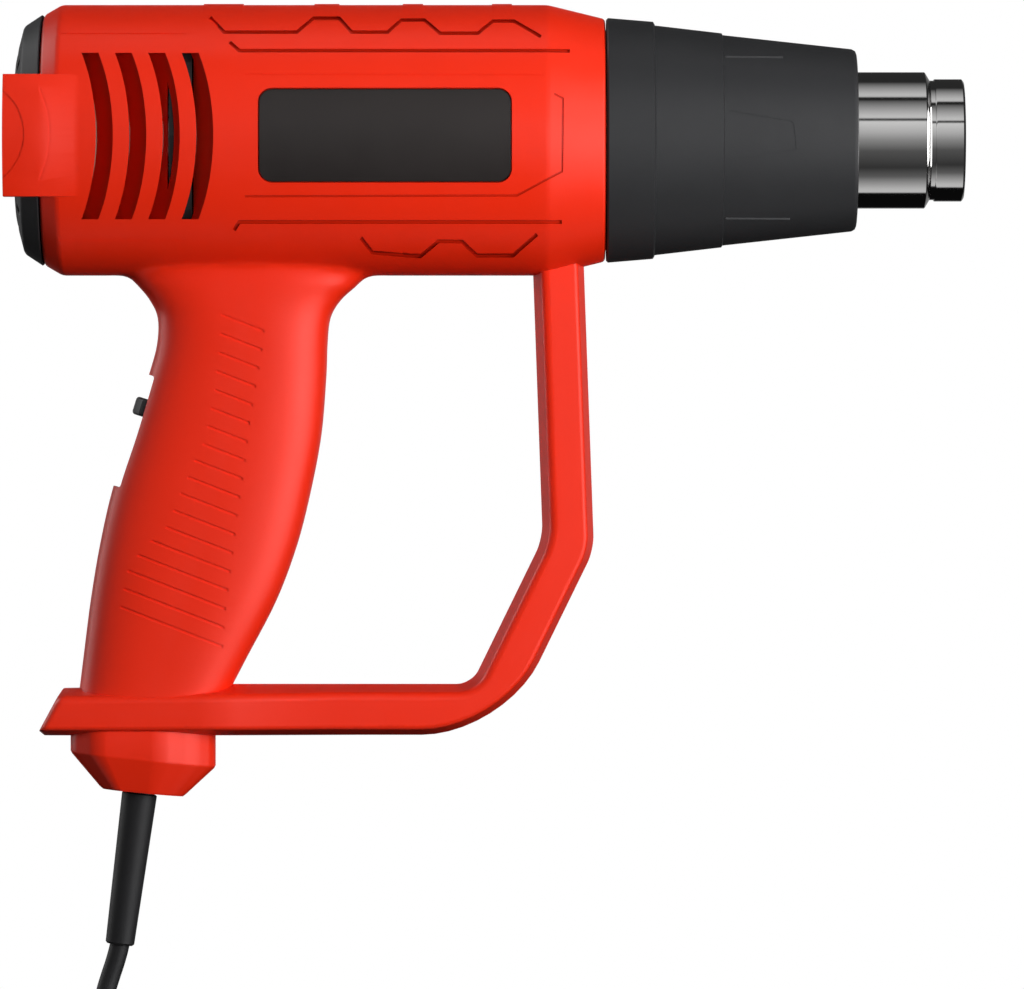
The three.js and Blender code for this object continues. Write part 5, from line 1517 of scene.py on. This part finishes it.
nose_form = combined("DIFFERENCE", nose_form, combined("INTERSECT", nose_skin, nose_panel))
nose_rib_height = 21.6 * mm
nose_rib_start_x = 136.6 * mm
nose_rib_y = 18.36 * mm
nose_rib_proud = 0.25 * mm
nose_rib_root = 2 * mm
nose_rib_taper = 0.178
nose_rib_half_width = 0.3 * mm
nose_rib_ends = [(nose_rib_height, 152 * mm), (-nose_rib_height, 154 * mm)]
nose_ribs = []
for side in (-1, 1):
    for level, end_x in nose_rib_ends:
        rib = block(
            (nose_rib_start_x, side * (nose_rib_y + nose_rib_proud), level - nose_rib_half_width),
            (end_x, side * (nose_rib_y - nose_rib_root), level + nose_rib_half_width),
        )
        for vert in rib.verts:
            vert.co.y -= side * (vert.co.x - nose_rib_start_x) * nose_rib_taper
        bmesh.ops.recalc_face_normals(rib, faces=rib.faces)
        rib.transform(on_axis)
        nose_ribs.append(rib)
nose_form = combined("UNION", nose_form, together(nose_ribs))
make_piece("nose_shroud", nose_form, black_plastic, "black_plastic", "tool", "front_nose")


# Outlet tube: rolled stainless steel, polished, with a stepped end for push-on fittings. Its rear flange
# is screwed up against the heater base.
tube_profile = [
    (106.2, 17.6),
    (106.2, 27.9),
    (107, 27.9),
    (107, 19),
    (107.6, 18.4),
    (108.4, 18.4),
    (189.9, 18.4),
    (190.6, 18.4),
    (190.85, 18.15),
    (191.95, 16.3),
    (192.05, 16.12),
    (193.15, 16.12),
    (193.2, 16.38),
    (193.4, 16.5),
    (193.8, 16.5),
    (200.2, 16.5),
    (200.6, 16.5),
    (200.95, 16.14),
    (201.2, 15.7),
    (201, 15.5),
    (193.6, 15.4),
    (191.6, 15.4),
    (191.2, 15.7),
    (190.2, 17.5),
    (189.9, 17.6),
]
outlet_steel = metal(
    "outlet_steel", (0.66, 0.655, 0.65), 0.075, 0.5 * mm, 0.0005 * mm, (1, 0.06, 0.06), 0.05
)
tube_form = spun(closed([(x * mm, radius * mm) for x, radius in tube_profile]), 192)
tube_form.transform(on_axis)
make_piece("outlet_sleeve", tube_form, outlet_steel, "outlet_steel", "tool", "outlet_tube")


# Floor: a pale round table under the hank, of matt board. It fades out into the white backdrop and keeps
# only the tool's shadow.
floor_z = cad_box[0].z - 1.2 * mm
floor_radius = 1.2
floor_fade = (0.16, 0.5)
floor_form = bmesh.new()
bmesh.ops.create_circle(floor_form, cap_ends=True, segments=96, radius=floor_radius)
floor_mesh = bpy.data.meshes.new("floor")
floor_form.to_mesh(floor_mesh)
floor_form.free()
floor = bpy.data.objects.new("floor", floor_mesh)
floor.location.z = floor_z
scene.collection.objects.link(floor)
floor_finish = Finish(bpy.data.materials.new("floor"))
floor_finish.set(Base_Color=(0.86, 0.86, 0.86, 1), Roughness=0.8)
reach = floor_finish.node("VectorMath", {"operation": "LENGTH"}, {0: floor_finish.place}, output="Value")
faded = floor_finish.node(
    "MapRange",
    {"interpolation_type": "SMOOTHSTEP"},
    {0: reach, 1: floor_fade[0], 2: floor_fade[1]},
)
board = Signal(floor_finish.shader.outputs[0])
clear = floor_finish.node("BsdfTransparent")
floor_mix = floor_finish.node("MixShader", sockets={0: faded, 1: board, 2: clear})
join(floor_mix, floor_finish.tree.nodes["Material Output"].inputs["Surface"])
floor_mesh.materials.append(floor_finish.owner)
floor.visible_glossy = False
floor.visible_diffuse = False


# Light tent: panels of pale and dark cloth hung in a round about the barrel's axis, and a dark end. It
# gives the steel its bands, and is seen only in shiny surfaces.
tent_radius = 2.6
tent_rear_x = -2.2
tent_front_x = 2.4
tent_end_depth = 0.1
tent_end_level = 0.03
tent_form = spun(
    [(tent_rear_x, 0), (tent_rear_x, tent_radius), (tent_front_x, tent_radius), (tent_front_x, 0)],
    96,
)
tent_mesh = bpy.data.meshes.new("light_tent")
tent_form.to_mesh(tent_mesh)
tent_form.free()
tent = bpy.data.objects.new("light_tent", tent_mesh)
tent.location.z = axis_z
scene.collection.objects.link(tent)
tent_panels = [
    (-180, 0.3), (-168, 0.2), (-160, 0.004), (-103, 0.004), (-100.5, 0.74), (-92, 0.67), (-66, 0.146),
    (-49, 0.045), (-20, 0.115), (-2, 0.34), (11, 0.6), (30, 0.87), (31.5, 0.05), (34.5, 0.05), (36, 0.8),
    (40, 0.75), (67, 0.146), (70, 0.02), (75, 0.02), (77, 0.7), (82, 0.72), (114, 0.03), (160, 0.03),
    (170, 0.2), (180, 0.3),
]
tent_stops = [((angle + 180) / 360, (level, level, level, 1)) for angle, level in tent_panels]
tent_finish = Finish(bpy.data.materials.new("tent_cloth"))
along, across, rise = tent_finish.axes()
turn = rise.worked("ARCTAN2", rise, 0 - across) * (0.5 / pi) + 0.5
cloth = tent_finish.node("ValToRGB", {"stops": tent_stops}, {0: turn})
tent_end = along > tent_front_x - tent_end_depth
cloth = tent_finish.blend(tent_end, cloth, (tent_end_level, tent_end_level, tent_end_level, 1))
tent_finish.set(Base_Color=(0, 0, 0, 1), Emission_Color=cloth, Emission_Strength=1, Specular_IOR_Level=0)
tent_mesh.materials.append(tent_finish.owner)
tent.visible_camera = False
tent.visible_diffuse = False
tent.visible_shadow = False
tent.visible_transmission = False


# Backdrop and lamps: a sheet of white paper that only lenses and mirrors see, and soft lamps on stands.
# Some lamps light the surfaces, and the others are there to be mirrored in them.
backdrop = Finish(bpy.data.worlds.new("studio"), "Background")
scene.world = backdrop.owner
shown = backdrop.node("LightPath", output="Is Camera Ray")
for kind in ("Is Glossy Ray", "Is Transmission Ray"):
    shown = shown.worked("MAXIMUM", shown, backdrop.node("LightPath", output=kind))
stray_light = 0.03
backdrop.set(Color=(1, 1, 1, 1), Strength=shown * (1 - stray_light) + stray_light)
lamp_aim = Vector((0.07, 0, 0.03))
for name, place, size, power, lit, mirrored in [
    ("front_light", (0.23, -0.56, 0.08), (0.25, 0.25), 1.75, True, False),
    ("side_light", (0.58, -0.52, 0.02), (0.3, 0.3), 3.9, True, False),
    ("soft_box", (0.65, -0.42, 0.12), (0.78, 1.2), 11.8, False, True),
    ("top_light", (0.07, -0.05, 1.3), (0.5, 0.5), 7.8, True, False),
    ("rim_light", (-1.5, 0.55, 0.25), (1.1, 1.1), 6.5, False, True),
    ("rear_sheen", (-1.05, 0.45, 0.8), (0.6, 0.6), 7, False, True),
    ("rear_light", (-1.2, 0.7, 0.2), (0.6, 0.6), 7, True, False),
    ("back_light", (0.1, 1.5, 0.35), (1.2, 1.2), 18, True, False),
]:
    lamp = bpy.data.lights.new(name, "AREA")
    lamp.shape = "RECTANGLE"
    lamp.size, lamp.size_y = size
    lamp.energy = power
    stand = bpy.data.objects.new(name, lamp)
    stand.location = place
    stand.rotation_euler = (lamp_aim - Vector(place)).to_track_quat("-Z", "Y").to_euler()
    stand.visible_camera = False
    stand.visible_diffuse = lit
    stand.visible_glossy = mirrored
    scene.collection.objects.link(stand)
